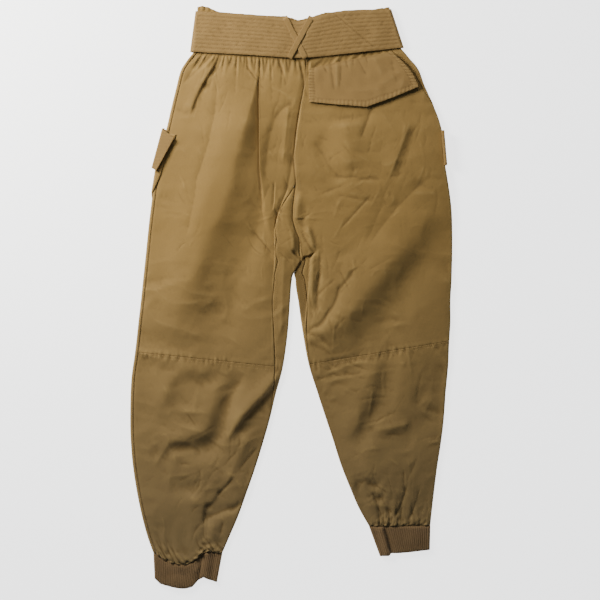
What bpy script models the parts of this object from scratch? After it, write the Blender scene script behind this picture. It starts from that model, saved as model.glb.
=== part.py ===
"""Paperbag waist trousers in cotton twill, laid flat on a surface with the back side up.

Run with: blender --background --python part.py

Frame: +X across the trousers, +Y towards the waist, +Z up from the surface they lie on.
The origin is under the middle of the garment, on that surface.

Each leg is one flattened tube. Its stations run from the waist seam (0) to the cuff seam. A point
of the tube is given by its station number and by its distance along the section, measured from
the outer turned edge: positive over the top layer, negative over the bottom layer. Every panel,
patch and flap is a strip of such a section, so pieces that lie on each other share their points.
All tables are in millimetres.
"""

import math

import bpy
import numpy as np

# ------------------------------------------------------------------ driving sizes, millimetres
MM = 0.001
CLOTH = 1.2  # wall of a twill panel
BELT_CLOTH = 2.0  # several plies, stitched through
CUFF_CLOTH = 1.8  # folded rib knit
SEAM = 0.3  # gap where two pieces meet
LAYER = 2.1  # from the middle of one wall to the middle of the piece sewn over it
STRAP_W = 9.0  # belt loop strap
STRAP_CLOTH = 1.2
KNEE = 15  # station of the knee seam, both legs
HIP_END, LEG_START = 7.4, 8.3  # between these stations the tube parts into two legs
LEFT_CUFF, RIGHT_CUFF = 23, 22  # stations of the cuff seams

# The centre seam, stations 0 to 12.
CENTRE_COLUMNS = ("x", "y")
CENTRE = (
    (20, 417),
    (23, 404),
    (25, 392),
    (24, 368),
    (20, 341),
    (13, 307),
    (8, 269),
    (5, 228),
    (8, 190),
    (3, 150),
    (7, 113),
    (15, 72),
    (15, 60),
)
LEG_COLUMNS = (
    "outer_x", "outer_y", "inner_x", "inner_y",  # where the station starts and ends
    "edge_r",  # radius of the turned edge
    "loft",  # how far the top layer stands up between its edges
    "wrap_out", "wrap_in",  # how far the front panel comes round onto the top at each edge
)
# The left leg as it lies (on the -X side). Its inner end counts from the crotch on.
LEFT_LEG = (
    (-160, 424, 20, 417, 1.6, 0.0, 7, 0),
    (-164, 411, 23, 404, 1.6, 0.0, 7, 0),
    (-173, 400, 25, 392, 1.6, 0.0, 7, 0),
    (-185, 381, 24, 368, 2.2, 2.0, 7, 0),
    (-193, 351, 20, 341, 2.4, 2.6, 7, 0),
    (-201, 318, 13, 307, 2.4, 3.0, 7, 0),
    (-209, 281, 8, 269, 2.4, 3.2, 7, 0),
    (-221, 239, 5, 228, 2.4, 3.4, 7, 0),
    (-229, 195, 8, 190, 2.4, 3.6, 7, 2),
    (-235, 151, 3, 150, 2.4, 3.8, 7, 21),
    (-240, 111, 5, 113, 2.4, 3.8, 7, 35),
    (-244, 72, 13, 72, 2.4, 3.8, 7, 42),
    (-248, 34, 2, 34, 2.4, 3.8, 7, 31),
    (-252, -5, -2, -10, 2.4, 3.6, 7, 30),
    (-257, -47, -6, -62, 2.4, 3.4, 7, 24),
    (-262, -92, -14, -118, 2.4, 3.2, 7, 14),
    (-268, -136, -26, -163, 2.4, 3.2, 7, 6),
    (-270, -181, -36, -205, 2.4, 3.2, 7, 2),
    (-270, -227, -48, -247, 2.4, 3.0, 7, 2),
    (-267, -272, -61, -289, 2.4, 2.8, 7, 2),
    (-261, -316, -75, -329, 2.4, 2.6, 7, 2),
    (-252, -361, -89, -368, 2.4, 2.4, 7, 2),
    (-242, -400, -104, -403, 2.4, 1.8, 7, 2),
    (-231, -431, -116, -431, 2.4, 0.8, 7, 2),
)
# The right leg (on the +X side). Its side seam turns under the edge below the hip.
RIGHT_LEG = (
    (178, 430, 20, 417, 1.6, 0.0, 19, 0),
    (184, 419, 23, 404, 1.6, 0.0, 18, 0),
    (196, 405, 25, 392, 1.6, 0.0, 16, 0),
    (214, 383, 24, 368, 2.2, 2.0, 12, 0),
    (225, 354, 20, 341, 2.4, 2.6, 7, 0),
    (242, 316, 13, 307, 2.4, 3.0, 0, 0),
    (253, 279, 8, 269, 2.4, 3.2, -6, 0),
    (256, 239, 5, 228, 2.4, 3.4, -7, 0),
    (263, 195, 8, 190, 2.4, 3.6, -7, 0),
    (269, 153, 3, 150, 2.4, 3.8, -7, 0),
    (271, 113, 9, 113, 2.4, 3.8, -7, 0),
    (271, 72, 17, 72, 2.4, 3.8, -7, 6),
    (270, 32, 8, 29, 2.4, 3.8, -7, 17),
    (268, -5, 13, -10, 2.4, 3.6, -7, 16),
    (268, -42, 20, -59, 2.4, 3.4, -7, 8),
    (266, -74, 30, -113, 2.4, 3.2, -7, 3),
    (264, -119, 44, -158, 2.4, 3.2, -7, 2),
    (260, -161, 57, -198, 2.4, 3.2, -7, 2),
    (257, -203, 71, -240, 2.4, 3.0, -7, 2),
    (252, -245, 84, -281, 2.4, 2.8, -7, 2),
    (245, -291, 99, -319, 2.4, 2.4, -7, 2),
    (239, -339, 114, -354, 2.4, 1.8, -7, 2),
    (234, -385, 132, -386, 2.4, 0.8, -7, 2),
)
# Where the legs lie against each other between the centre seam and the gap: y, x of the middle of their seam.
# Their turned edges stay clear of that line on both sides.
CROTCH_COLUMNS = ("y", "x")
CROTCH_LINE = ((40, 4.5), (61, 16.5), (72, 14.5), (113, 7.5), (150, 3), (190, 8), (228, 5))
CROTCH_CLEAR = 0.9

# The belt and the waistband under it, from the left turned edge to the right one.
WAIST_COLUMNS = ("x_top", "y_top", "x_bottom", "y_bottom", "y_frill")
WAIST = (
    (-160, 480, -169, 412, 489),
    (-86, 475, -86, 407, 478),
    (-13, 468, -13, 402, 471),
    (12, 462, 12, 401, 465),
    (35, 468, 35, 402, 471),
    (91, 480, 91, 408, 483),
    (168, 483, 189, 419, 487),
)
# The belt's ends lap under the middle of the front: the outer end lies on the surface.
LAP_LEFT, LAP_RIGHT = -32.0, 30.0
LAP_RAMP = 80.0

# Folds of the top layer: a soft ridge (height > 0) or trough (height < 0) along a line.
FOLD_COLUMNS = ("x0", "y0", "x1", "y1", "half_width", "height")
FOLDS = (
    (-68, 330, -128, 110, 36, 4.0),  # crest of the left thigh, from the long pleat
    (-112, 180, -196, -86, 52, 5.0),  # and down to the knee
    (-52, 155, -59, -89, 20, -3.0),  # valley beside it
    (-127, 392, -166, 312, 9, -2.6),  # slanting crease, waist to pocket
    (-24, 307, -42, 197, 9, -1.6),
    (12, 172, 3, 74, 14, 3.0),  # ridge above the crotch
    (42, 262, 82, 200, 14, -1.8),
    (96, 294, 102, 220, 22, 2.2),  # seat, right
    (206, 282, 178, 203, 12, -1.6),
    (252, 160, 72, -10, 24, 5.2),  # long ridge, right hip to inner knee
    (84, 8, 24, -57, 12, 3.4),
    (247, 126, 92, -66, 24, -2.6),  # trough below it
    (-28, -122, -100, -216, 16, 3.0),  # left shin: ridge and slanting trough below it
    (-92, -137, -141, -236, 15, -3.2),
    (-134, -232, -214, -254, 13, -2.4),
    (-200, -186, -150, -132, 14, -1.8),  # left knee
    (-78, -240, -108, -312, 12, 2.2),
    (-100, -306, -140, -350, 9, -2.2),
    (165, -89, 161, -153, 14, -2.2),  # right shin
    (161, -146, 109, -230, 14, -2.8),
    (150, -228, 236, -206, 13, -1.8),
    (125, -302, 163, -364, 9, -2.0),
)
# The long pleat of the left back: its line, and how deep and how wide the cloth sinks on its -X side.
PLEAT_COLUMNS = ("x", "y", "depth", "width")
PLEAT = (
    (-52.5, 374, 0.0, 6),
    (-51.7, 342, 4.6, 11),
    (-51.0, 300, 6.4, 24),
    (-51.0, 250, 5.8, 40),
    (-51.5, 214, 4.4, 46),
    (-49.0, 188, 2.8, 48),
    (-46.0, 143, 1.8, 44),
    (-38.0, 105, 0.8, 34),
    (-30.0, 60, 0.0, 10),
)
LEAST_BODY = 2.7  # between the middles of the top and the bottom layer

# Pocket patches on the sides, and their flaps, as stations and distances along the section.
PATCH_FROM, PATCH_TO = 6.2, 9.2
PATCH_REACH = 128.0  # how far the patch goes under the leg
FLAP_REACH = 130.0
LEFT_REAR = ((6.2, 20.0), (6.4, 20.0), (7.04, 12.5), (7.73, 11.0), (8.15, 6.0), (8.54, 0.0), (9.2, -10.0))
RIGHT_REAR = ((6.2, -4.0), (9.2, -14.0))
LEFT_FLAP = {"top_edge": (-216, 282), "top_rear": (-195, 265), "low_rear": (-225, 211), "low_edge": (-233, 216)}
RIGHT_FLAP = {"top_edge": (256, 279), "top_rear": (254, 277), "low_rear": (259, 222), "low_edge": (261, 221)}

# Flap of the back pocket, top edge and bottom edge.
BACK_FLAP = (
    ("x_top", "y_top", "x_bottom", "y_bottom"),
    (30, 382, 32, 327),
    (66, 391, 79, 322),
    (116, 401, 127, 318),
    (142, 406, 171, 334),
    (167, 411, 213, 352),
)
FLAP_GAP = 2.1  # from the panel's middle to the flap's middle
FLAP_LIFT = 1.2  # how much further its free edge stands off

# Rows and columns of the faceted walls. Pieces that meet or lie on each other share them.
HIP_ROWS = (0, 2, 3, 4, 5, 6, 7, 7.4, 8, 8.3)
CROTCH_ROWS = (150, 113, 72, 61, 40, 28)  # heights of the inner end, below those rows
EDGE_MM = (3.8, 1.9, 0, -1.9, -3.8)  # distances over a turned edge, from the top to the bottom
NEAR_MM = 12  # the first even column past an edge

CLOTH_FINISH = ((0.36, 0.245, 0.115, 1.0), 0.82)
RIB_FINISH = ((0.26, 0.175, 0.085, 1.0), 0.9)


# ------------------------------------------------------------------ interpolation
def smoothstep(x, a, b):
    t = np.clip((np.asarray(x, float) - a) / (b - a), 0.0, 1.0)
    return t * t * (3 - 2 * t)


def plateau(x, a, b, ramp):
    """1 between a and b, falling to 0 over ramp outside them."""
    return smoothstep(x, a - ramp, a) * (1 - smoothstep(x, b, b + ramp))


def at_station(table, v):
    """The rows of a table at station numbers v, along smooth curves through the rows."""
    rows = np.asarray(table, float)
    v = np.clip(np.asarray(v, float), 0, len(rows) - 1)
    i = np.minimum(v.astype(int), len(rows) - 2)
    u = (v - i)[..., None]
    p0, p1 = rows[np.maximum(i - 1, 0)], rows[i]
    p2, p3 = rows[i + 1], rows[np.minimum(i + 2, len(rows) - 1)]
    m1, m2 = (p2 - p0) / 2, (p3 - p1) / 2
    u2, u3 = u * u, u * u * u
    return (2 * u3 - 3 * u2 + 1) * p1 + (u3 - 2 * u2 + u) * m1 + (3 * u2 - 2 * u3) * p2 + (u3 - u2) * m2


# ------------------------------------------------------------------ heights
def lap_raise(x):
    """The belt's inner end lifts what lies on it."""
    return (BELT_CLOTH + SEAM) * plateau(x, LAP_LEFT - 4, LAP_RIGHT + 26, LAP_RAMP)


def lift_of_layers(v, x, across):
    """How far the bottom layer is lifted by the belt and the pockets under it."""
    belt = (BELT_CLOTH + SEAM + lap_raise(x)) * (1 - smoothstep(v, 2.0, 3.9))
    near = 1 - smoothstep(across, 160, 205)
    patch = LAYER * plateau(v, 6.0, 9.3, 1.0) * near
    flap = LAYER * plateau(v, 5.9, 8.0, 1.3) * near
    return belt + patch + flap


def pleat_at(y):
    """Its x, depth and width at heights y."""
    rows = np.array(PLEAT[::-1], float)
    return tuple(np.interp(y, rows[:, 1], rows[:, k]) for k in (0, 2, 3))


def folds_at(x, y):
    line, depth, width = pleat_at(y)
    t = x - line
    z = -depth * np.clip(1 + t / width, 0, 1) ** 1.3 * (t < 0)
    for x0, y0, x1, y1, half, height in FOLDS:
        dx, dy = x1 - x0, y1 - y0
        length = math.hypot(dx, dy)
        along = ((x - x0) * dx + (y - y0) * dy) / length
        aside = ((x - x0) * dy - (y - y0) * dx) / length
        ends = smoothstep(along, -0.12 * length, 0.2 * length) * (1 - smoothstep(along, 0.8 * length, 1.12 * length))
        z = z + height * ends * np.exp(-((aside / half) ** 2))
    return z


# ------------------------------------------------------------------ one leg's section
def close_crotch(inner, side):
    """The inner end of a leg, moved to the line on which the legs lie against each other."""
    y = inner[..., 1]
    rows = np.array(CROTCH_LINE, float)
    at = np.interp(y, rows[:, 0], rows[:, 1]) + side * CROTCH_CLEAR
    share = smoothstep(y, 24, 38)
    moved = inner.copy()
    moved[..., 0] += share * (at - inner[..., 0])
    return moved


class Leg:
    """parted is 0 for the section that ends at the centre seam and 1 for the tube of a leg."""

    def __init__(self, side):
        self.side = side
        self.table = LEFT_LEG if side < 0 else RIGHT_LEG

    def facts(self, v, parted):
        row = at_station(self.table, v)
        outer, inner = row[..., 0:2], row[..., 2:4]
        if not parted:
            inner = at_station(CENTRE, v) + np.array([self.side * SEAM / 2, 0])
        else:
            inner = close_crotch(inner, self.side)
        width = np.linalg.norm(inner - outer, axis=-1)
        return outer, (inner - outer) / width[..., None], width, row[..., 4], row[..., 5]

    def wraps(self, v):
        row = at_station(self.table, v)
        return row[..., 6], np.maximum(row[..., 7], 0)

    def length(self, v, parted):
        """From the outer turned edge to the inner end."""
        _, _, width, r, _ = self.facts(v, parted)
        return math.pi * r / 2 * (1 + parted) + width - r * (1 + parted)

    def top_z(self, v, x, y, across, width, r, loft, parted):
        if parted:
            hump = np.sin(math.pi * np.clip((across - r) / (width - 2 * r), 0, 1)) ** 0.7
            free = smoothstep(across, r, 30) * smoothstep(width - across, r, 30)
        else:
            hump = np.sin(math.pi / 2 * np.clip(across / (0.4 * width), 0, 1)) ** 0.8
            free = smoothstep(across, r, 30)
        free = free * smoothstep(v, 2.0, 3.4)
        body = 2 * r + loft * hump + free * folds_at(x, y)
        body = np.where(free > 0, LEAST_BODY + np.logaddexp(0, (body - LEAST_BODY) / 0.5) * 0.5, body)
        return CLOTH / 2 + lift_of_layers(v, x, across) + body

    def point(self, v, s, parted, out=0.0):
        """Points at stations v and distances s, moved out by out."""
        v, s = np.broadcast_arrays(np.asarray(v, float), np.asarray(s, float))
        outer, along, width, r, loft = self.facts(v, parted)
        quarter, total = math.pi * r / 2, self.length(v, parted)
        d = np.abs(s)
        past = (d > total) & (parted > 0)  # a bottom strip that goes on round the inner edge onto the top
        top = (s >= 0) ^ past
        d = np.where(past, 2 * total - d, d)
        first, last = d < quarter, (d > total - quarter) & (parted > 0)
        a0, a1 = d / r, (total - d) / r
        across = np.where(first, r - (r + out) * np.cos(a0), r + d - quarter)
        across = np.where(last, width - r + (r + out) * np.cos(a1), across)
        middle = np.clip(across, r, width - r * parted)
        x = outer[..., 0] + along[..., 0] * across
        y = outer[..., 1] + along[..., 1] * across
        low = CLOTH / 2 + lift_of_layers(v, x, middle)
        high = self.top_z(v, x, y, middle, width, r, loft, parted)
        rise = np.where(first, np.sin(np.clip(a0, 0, math.pi / 2)), 1.0)
        rise = np.where(last, np.sin(np.clip(a1, 0, math.pi / 2)), rise)
        z = (low + high) / 2 + np.where(top, 1.0, -1.0) * ((high - low) / 2 + out) * rise
        return np.stack([x, y, z], -1)

    def strip(self, v, columns):
        """A strip of the section, blended across the crotch. columns(parted) gives its distances."""
        g = smoothstep(v, HIP_END, LEG_START)[:, None, None]
        rows = v[:, None]
        return (1 - g) * self.point(rows, columns(0), 0) + g * self.point(rows, columns(1), 1)

    def z_at(self, x, y):
        """Height of the top layer's middle over points of the plane above the crotch."""
        x, y = np.asarray(x, float), np.asarray(y, float)
        lo, hi = np.zeros(x.shape), np.full(x.shape, 11.0)
        for _ in range(40):
            mid = (lo + hi) / 2
            outer, along, *_ = self.facts(mid, 0)
            over = ((x - outer[..., 0]) * along[..., 1] - (y - outer[..., 1]) * along[..., 0]) * -self.side
            below = over < 0
            lo, hi = np.where(below, mid, lo), np.where(below, hi, mid)
        outer, along, width, r, loft = self.facts(lo, 0)
        across = (x - outer[..., 0]) * along[..., 0] + (y - outer[..., 1]) * along[..., 1]
        return self.top_z(lo, x, y, np.clip(across, r, width), width, r, loft, 0)


def between(first, last, count):
    """Distances at equal steps between two columns."""
    share = (np.arange(count) + 1) / (count + 1)
    return first[:, None] + (last - first)[:, None] * share


# ------------------------------------------------------------------ objects
def material(name, finish):
    made = bpy.data.materials.new(name)
    made.use_nodes = True
    shader = made.node_tree.nodes["Principled BSDF"]
    shader.inputs["Base Color"].default_value = finish[0]
    shader.inputs["Roughness"].default_value = finish[1]
    shader.inputs["Metallic"].default_value = 0.0
    return made


def wall(name, points, thickness, finish, ring=False):
    """A grid of points (rows, columns, 3) as a cloth wall: an open surface with Solidify."""
    rows, columns = points.shape[:2]
    mesh = bpy.data.meshes.new(name)
    last = columns if ring else columns - 1
    faces = [
        (r * columns + c, r * columns + (c + 1) % columns, (r + 1) * columns + (c + 1) % columns, (r + 1) * columns + c)
        for r in range(rows - 1)
        for c in range(last)
    ]
    mesh.from_pydata((points.reshape(-1, 3) * MM).tolist(), [], faces)
    mesh.update()
    obj = bpy.data.objects.new(name, mesh)
    parts.objects.link(obj)
    obj.data.materials.append(material(name + "_finish", finish))
    solid = obj.modifiers.new("Solidify", "SOLIDIFY")
    solid.thickness = thickness * MM
    solid.offset = 0.0
    solid.use_even_offset = True
    for polygon in mesh.polygons:
        polygon.use_smooth = True
    mesh.set_sharp_from_angle(angle=math.radians(40))
    return obj


def pleat_distance(leg, v, parted):
    """The pleat's distance along the section at stations v."""
    outer, along, width, r, _ = leg.facts(v, parted)
    across = 0.7 * width
    for _ in range(12):
        across = (pleat_at(outer[:, 1] + along[:, 1] * across)[0] - outer[:, 0]) / along[:, 0]
    return across - r + math.pi * r / 2


def inseam_gap(wrap_in):
    """Wider where the seam lies on the turned edge itself, because the walls' ends open towards each other there."""
    return SEAM + 0.5 * (1 - smoothstep(wrap_in, 3.0, 5.0))


def back_panel(leg, name, v, middle, pleated=False):
    """The top layer: from the side seam to the centre seam, or to the inseam below the crotch."""
    wrap_out, wrap_in = leg.wraps(v)
    start = wrap_out + SEAM / 2

    def columns(parted):
        end = leg.length(v, parted) - parted * (wrap_in + inseam_gap(wrap_in) / 2)
        if leg.side < 0:
            first = [start, start + 6]
        else:  # the seam lies under the turned edge
            first = [start] + [np.maximum(-mm, start + 1 + k) for k, mm in enumerate(EDGE_MM)]
            first.append(np.maximum(NEAR_MM, start + 7))
        last = [end - (EDGE_MM[0] - mm) for mm in EDGE_MM[:3]]
        if not pleated:
            return np.concatenate([np.stack(first, 1), between(first[-1], last[-1], middle), np.stack(last[::-1], 1)], 1)
        at = np.minimum(pleat_distance(leg, v, parted), last[-1] - 14)
        crease = np.stack([at - 7, at - 0.7, at + 0.7], 1)
        outer_part = between(first[-1], at - 7, middle - 4)
        inner_part = between(at + 0.7, last[-1], 3)
        return np.concatenate([np.stack(first, 1), outer_part, crease, inner_part, np.stack(last[::-1], 1)], 1)

    return wall(name, leg.strip(v, columns), CLOTH, CLOTH_FINISH)


def front_panel(leg, name, v, middle):
    """The bottom layer, full length: round the outer edge at the side seam and, on the leg, round the inner edge."""
    wrap_out, wrap_in = leg.wraps(v)
    start = wrap_out - SEAM / 2

    def columns(parted):
        total = leg.length(v, parted)
        end = parted * (wrap_in - inseam_gap(wrap_in) / 2)
        first = [start] + [np.minimum(mm, start - 1 - k) for k, mm in enumerate(EDGE_MM)]
        last = [end] + [np.minimum(mm, end - 1 - k) for k, mm in enumerate(EDGE_MM)]
        last = [-(total + e) for e in reversed(last)]
        return np.concatenate([np.stack(first, 1), between(first[-1], last[0], middle), np.stack(last, 1)], 1)

    return wall(name, leg.strip(v, columns), CLOTH, CLOTH_FINISH)


# ---- waist rings
def waist_line(share, low):
    """A point of the belt at shares 0 (left) to 1 (right); low is 0 on its top line and 1 on its bottom one."""
    knots = np.linspace(0, len(WAIST) - 1, 121)
    fine = at_station(WAIST, knots)
    x0, y0, x1, y1, _ = (float(np.interp(share, np.linspace(0, 1, 121), fine[:, k])) for k in range(5))
    return x0 * (1 - low) + x1 * low, y0 * (1 - low) + y1 * low


def panel_top_line(share):
    """The panels' top edges, as one line over shares 0 to 1."""
    ends = (LEFT_LEG[0], CENTRE[0], RIGHT_LEG[0])
    return tuple(np.interp(share, (0, 0.52, 1), [end[k] for end in ends]) for k in (0, 1))


def waist_low_z(x):
    return BELT_CLOTH + SEAM + CLOTH / 2 + lap_raise(x)


WAIST_R = 1.6


def turned_edge(x, inward, centre, r, steps, down):
    """(x, z) round a turned edge of radius r: up it, or down it."""
    way = -1 if down else 1
    angles = [way * (-math.pi / 2 + math.pi * k / steps) for k in range(steps + 1)]
    return [(x + inward * r * (1 - math.cos(a)), centre + r * math.sin(a)) for a in angles]


def ring_section(line, low_z, r, shares, steps):
    """One ring row: over the top from left to right, then back along the bottom."""
    (lx, ly), (rx, ry) = line(0.0), line(1.0)
    row = [(x, ly, z) for x, z in turned_edge(lx, 1, low_z(lx) + r, r, steps, False)]
    row += [(*line(share), low_z(line(share)[0]) + 2 * r) for share in shares]
    row += [(x, ry, z) for x, z in turned_edge(rx, -1, low_z(rx) + r, r, steps, True)]
    row += [(*line(share), low_z(line(share)[0])) for share in reversed(shares)]
    return np.array(row, float)


WAIST_SHARES = tuple(0.04 + 0.92 * k / 12 for k in range(13))


def waistband():
    """The casing the belt is sewn round, with the paperbag frill as its upper edge."""
    knots = np.linspace(0, 1, len(WAIST))
    rows = []
    for w in (0.0, 0.3, 0.65, 1.0):

        def line(share, w=w):
            x0, y0 = panel_top_line(share)
            x1 = np.interp(share, knots, [row[0] for row in WAIST]) + 8.0 * (1 - 2 * share)
            y1 = np.interp(share, knots, [row[4] for row in WAIST])
            return float(x0 * (1 - w) + x1 * w), float((y0 + SEAM + 0.3) * (1 - w) + y1 * w)

        rows.append(ring_section(line, lambda x: float(waist_low_z(x)), WAIST_R, WAIST_SHARES, 4))
    return wall("waistband", np.array(rows), CLOTH, CLOTH_FINISH, ring=True)


BELT_RISE = CLOTH / 2 + SEAM + BELT_CLOTH / 2  # from the waistband's middle to the belt's


def belt():
    """One strip with two ends: from the outer end under the front, round both edges, to the inner end."""
    half = WAIST_R + BELT_RISE
    under, centre = BELT_CLOTH / 2, BELT_CLOTH / 2 + half
    rows = []
    for low in (1.0, 0.67, 0.33, 0.0):
        (lx, ly), (rx, ry) = waist_line(0.0, low), waist_line(1.0, low)
        fine = [waist_line(k / 200, low) for k in range(201)]

        def y_at(x, fine=fine):
            return float(np.interp(x, [p[0] for p in fine], [p[1] for p in fine]))

        row = [(x, y_at(x), under) for x in np.linspace(LAP_RIGHT, lx + half + 12, 7)]
        row += [(x, ly, z) for x, z in turned_edge(lx, 1, centre, half, 5, False)]
        for share in WAIST_SHARES:
            x, y = waist_line(share, low)
            row.append((x, y, float(waist_low_z(x)) + 2 * WAIST_R + BELT_RISE))
        row += [(x, ry, z) for x, z in turned_edge(rx, -1, centre, half, 5, True)]
        row += [(x, y_at(x), under) for x in np.linspace(rx - half - 12, LAP_RIGHT + 42, 3)]
        for x, up in ((LAP_RIGHT + 28, 0.35), (LAP_RIGHT + 8, 1.0), (0, 1.0), (LAP_LEFT, 1.0)):
            row.append((x, y_at(x), under + up * (BELT_CLOTH + SEAM)))
        rows.append(row)
    return wall("belt", np.array(rows, float), BELT_CLOTH, CLOTH_FINISH)


STRAPS = (  # from above the belt to just below it
    ("belt_loop_under", (-11, 470), (25, 396.5), 0.0),
    ("belt_loop_over", (34.5, 470), (-4, 396.5), 1.0),
)


def belt_loop(name, top, bottom, over):
    """A strap across the back of the belt. The second one crosses over the first."""
    (x0, y0), (x1, y1) = top, bottom
    length = math.hypot(x1 - x0, y1 - y0)
    side = np.array([-(y1 - y0), x1 - x0]) / length * STRAP_W / 2
    rows = []
    for t in (0, 0.2, 0.37, 0.48, 0.61, 0.74, 0.86, 0.93, 1.0):
        x, y = x0 + (x1 - x0) * t, y0 + (y1 - y0) * t
        z = float(waist_low_z(x)) + 2 * WAIST_R + BELT_RISE + BELT_CLOTH / 2 + SEAM + 0.1 + STRAP_CLOTH / 2
        z += over * (STRAP_CLOTH + SEAM) * float(plateau(t, 0.47, 0.75, 0.1))
        rows.append([(x + side[0] * k, y + side[1] * k, z) for k in (1, 0, -1)])
    return wall(name, np.array(rows), STRAP_CLOTH, CLOTH_FINISH)


def cuff(name, leg, last, foot_left, foot_right, bow):
    """A rib knit tube, sewn to the leg's lower end."""
    outer, along, width, *_ = leg.facts(np.array([float(last)]), 1)
    inner = outer + along * width[..., None]
    head = (outer[0], inner[0]) if leg.side < 0 else (inner[0], outer[0])
    rows = []
    for w in (0.0, 0.5, 1.0):
        a = (head[0] - (0, SEAM)) * (1 - w) + np.array(foot_left) * w
        b = (head[1] - (0, SEAM)) * (1 - w) + np.array(foot_right) * w

        def line(share, a=a, b=b, w=w):
            x, y = a + (b - a) * share
            return float(x), float(y - w * bow * math.sin(math.pi * share) ** 2)

        shares = [0.09 + 0.82 * k / 7 for k in range(8)]
        rows.append(ring_section(line, lambda x: CUFF_CLOTH / 2, 2.1, shares, 4))
    return wall(name, np.array(rows), CUFF_CLOTH, RIB_FINISH, ring=True)


def back_flap():
    rows = np.array(BACK_FLAP[1:], float)
    share = np.linspace(0, len(rows) - 1, 9)
    edge = np.stack([np.interp(share, range(len(rows)), rows[:, k]) for k in range(4)], -1)
    grid = []
    leg = Leg(+1)
    for w in np.linspace(0, 1, 5):
        x = edge[:, 0] * (1 - w) + edge[:, 2] * w
        y = edge[:, 1] * (1 - w) + edge[:, 3] * w
        grid.append(np.stack([x, y, leg.z_at(x, y) + FLAP_GAP + FLAP_LIFT * w * w], -1))
    return wall("back_pocket_flap", np.array(grid), CLOTH, CLOTH_FINISH)


def cargo_patch(leg, name, rear):
    """The patch of a side pocket: from its rear edge round the outer edge to under the leg."""
    v = np.array([PATCH_FROM, 6.6, 7.04, 7.6, 8.15, 8.35, 8.45, 8.54, 8.64, 8.76, PATCH_TO])
    start = np.interp(v, [r[0] for r in rear], [r[1] for r in rear])
    first = [start] + [np.minimum(mm, start - 1 - k) for k, mm in enumerate(EDGE_MM)]
    end = 0 * start - PATCH_REACH
    columns = np.concatenate([np.stack(first, 1), between(first[-1], end, 3), end[:, None]], 1)
    return wall(name, leg.point(v[:, None], columns, 0, LAYER), CLOTH, CLOTH_FINISH)


def cargo_flap(leg, name, corners):
    """The flap of a side pocket: stiff, so it stands off the turned edge before it goes under the leg."""
    top_edge, top_rear = np.array(corners["top_edge"], float), np.array(corners["top_rear"], float)
    low_edge, low_rear = np.array(corners["low_edge"], float), np.array(corners["low_rear"], float)
    grid = []
    for w in np.linspace(0, 1, 4):
        edge = top_edge * (1 - w) + low_edge * w
        rear = top_rear * (1 - w) + low_rear * w
        inward = np.array([-leg.side, 0.0])
        v = 6.0 + 1.4 * w
        low = CLOTH / 2
        high = float(leg.point(v, 24.0, 0)[2]) + 2 * LAYER + 0.8
        half = (high - low) / 2
        row = []
        for t in (1.0, 0.66, 0.33):
            p = edge + (rear - edge) * t
            row.append((p[0], p[1], high - 0.4 * (1 - t)))
        for k in range(1, 7):
            a = math.pi / 2 - math.pi * k / 7
            p = edge + inward * half * (1 - math.cos(a)) * 0.8
            row.append((p[0], p[1], low + half + half * math.sin(a)))
        for d in (0.02, 0.34, 0.67, 1.0):
            p = edge + inward * (half * 0.8 + FLAP_REACH * d)
            row.append((p[0], p[1], low))
        grid.append(row)
    return wall(name, np.array(grid), CLOTH, CLOTH_FINISH)


# ------------------------------------------------------------------ build
for old in list(bpy.data.objects):
    bpy.data.objects.remove(old, do_unlink=True)
parts = bpy.data.collections.new("paperbag_waist_trousers")
bpy.context.scene.collection.children.link(parts)

left, right = Leg(-1), Leg(+1)
KNEE_GAP = 0.0035  # stations
for leg, word, last, count, wide, narrow in ((left, "left", LEFT_CUFF, 7, 13, 9), (right, "right", RIGHT_CUFF, 7, 10, 8)):
    knots = np.linspace(8, 13, 501)
    inner_y = at_station(leg.table, knots)[:, 3]
    crotch = [float(np.interp(-y, -inner_y, knots)) for y in CROTCH_ROWS]
    shin = np.linspace(KNEE, last, count + 1)
    upper = np.array([*HIP_ROWS, *crotch, 13, 14, KNEE - KNEE_GAP])
    lower = np.array([KNEE + KNEE_GAP, *shin[1:]])
    back_panel(leg, "back_" + word + "_upper", upper, wide, pleated=leg.side < 0)
    back_panel(leg, "back_" + word + "_lower", lower, narrow)
    front_panel(leg, "front_" + word, np.array([*HIP_ROWS, *crotch, 13, 14, *shin]), 3)
waistband()
belt()
for name, top, bottom, over in STRAPS:
    belt_loop(name, top, bottom, over)
back_flap()
cargo_patch(left, "cargo_pocket_left", LEFT_REAR)
cargo_patch(right, "cargo_pocket_right", RIGHT_REAR)
cargo_flap(left, "cargo_flap_left", LEFT_FLAP)
cargo_flap(right, "cargo_flap_right", RIGHT_FLAP)
cuff("cuff_left", left, LEFT_CUFF, (-229, -478), (-125, -478), 10)
cuff("cuff_right", right, RIGHT_CUFF, (150, -432), (233, -425), 1)
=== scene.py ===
"""Looks of the paperbag waist trousers, laid flat on a pale floor with the back side up.

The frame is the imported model's: metres, +X across, +Y towards the waist, +Z up from the floor.
The tables are in millimetres. Each leg is one flattened tube: a point of it is given by its station
(0 at the waist seam, 15 at the knee seam) and by its distance along the section from the outer turned
edge, positive over the top layer and negative over the bottom one. Every cloth piece is a thin shell
on such a grid. What lies on the top layer takes its height from the same functions.
"""

import math

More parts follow.
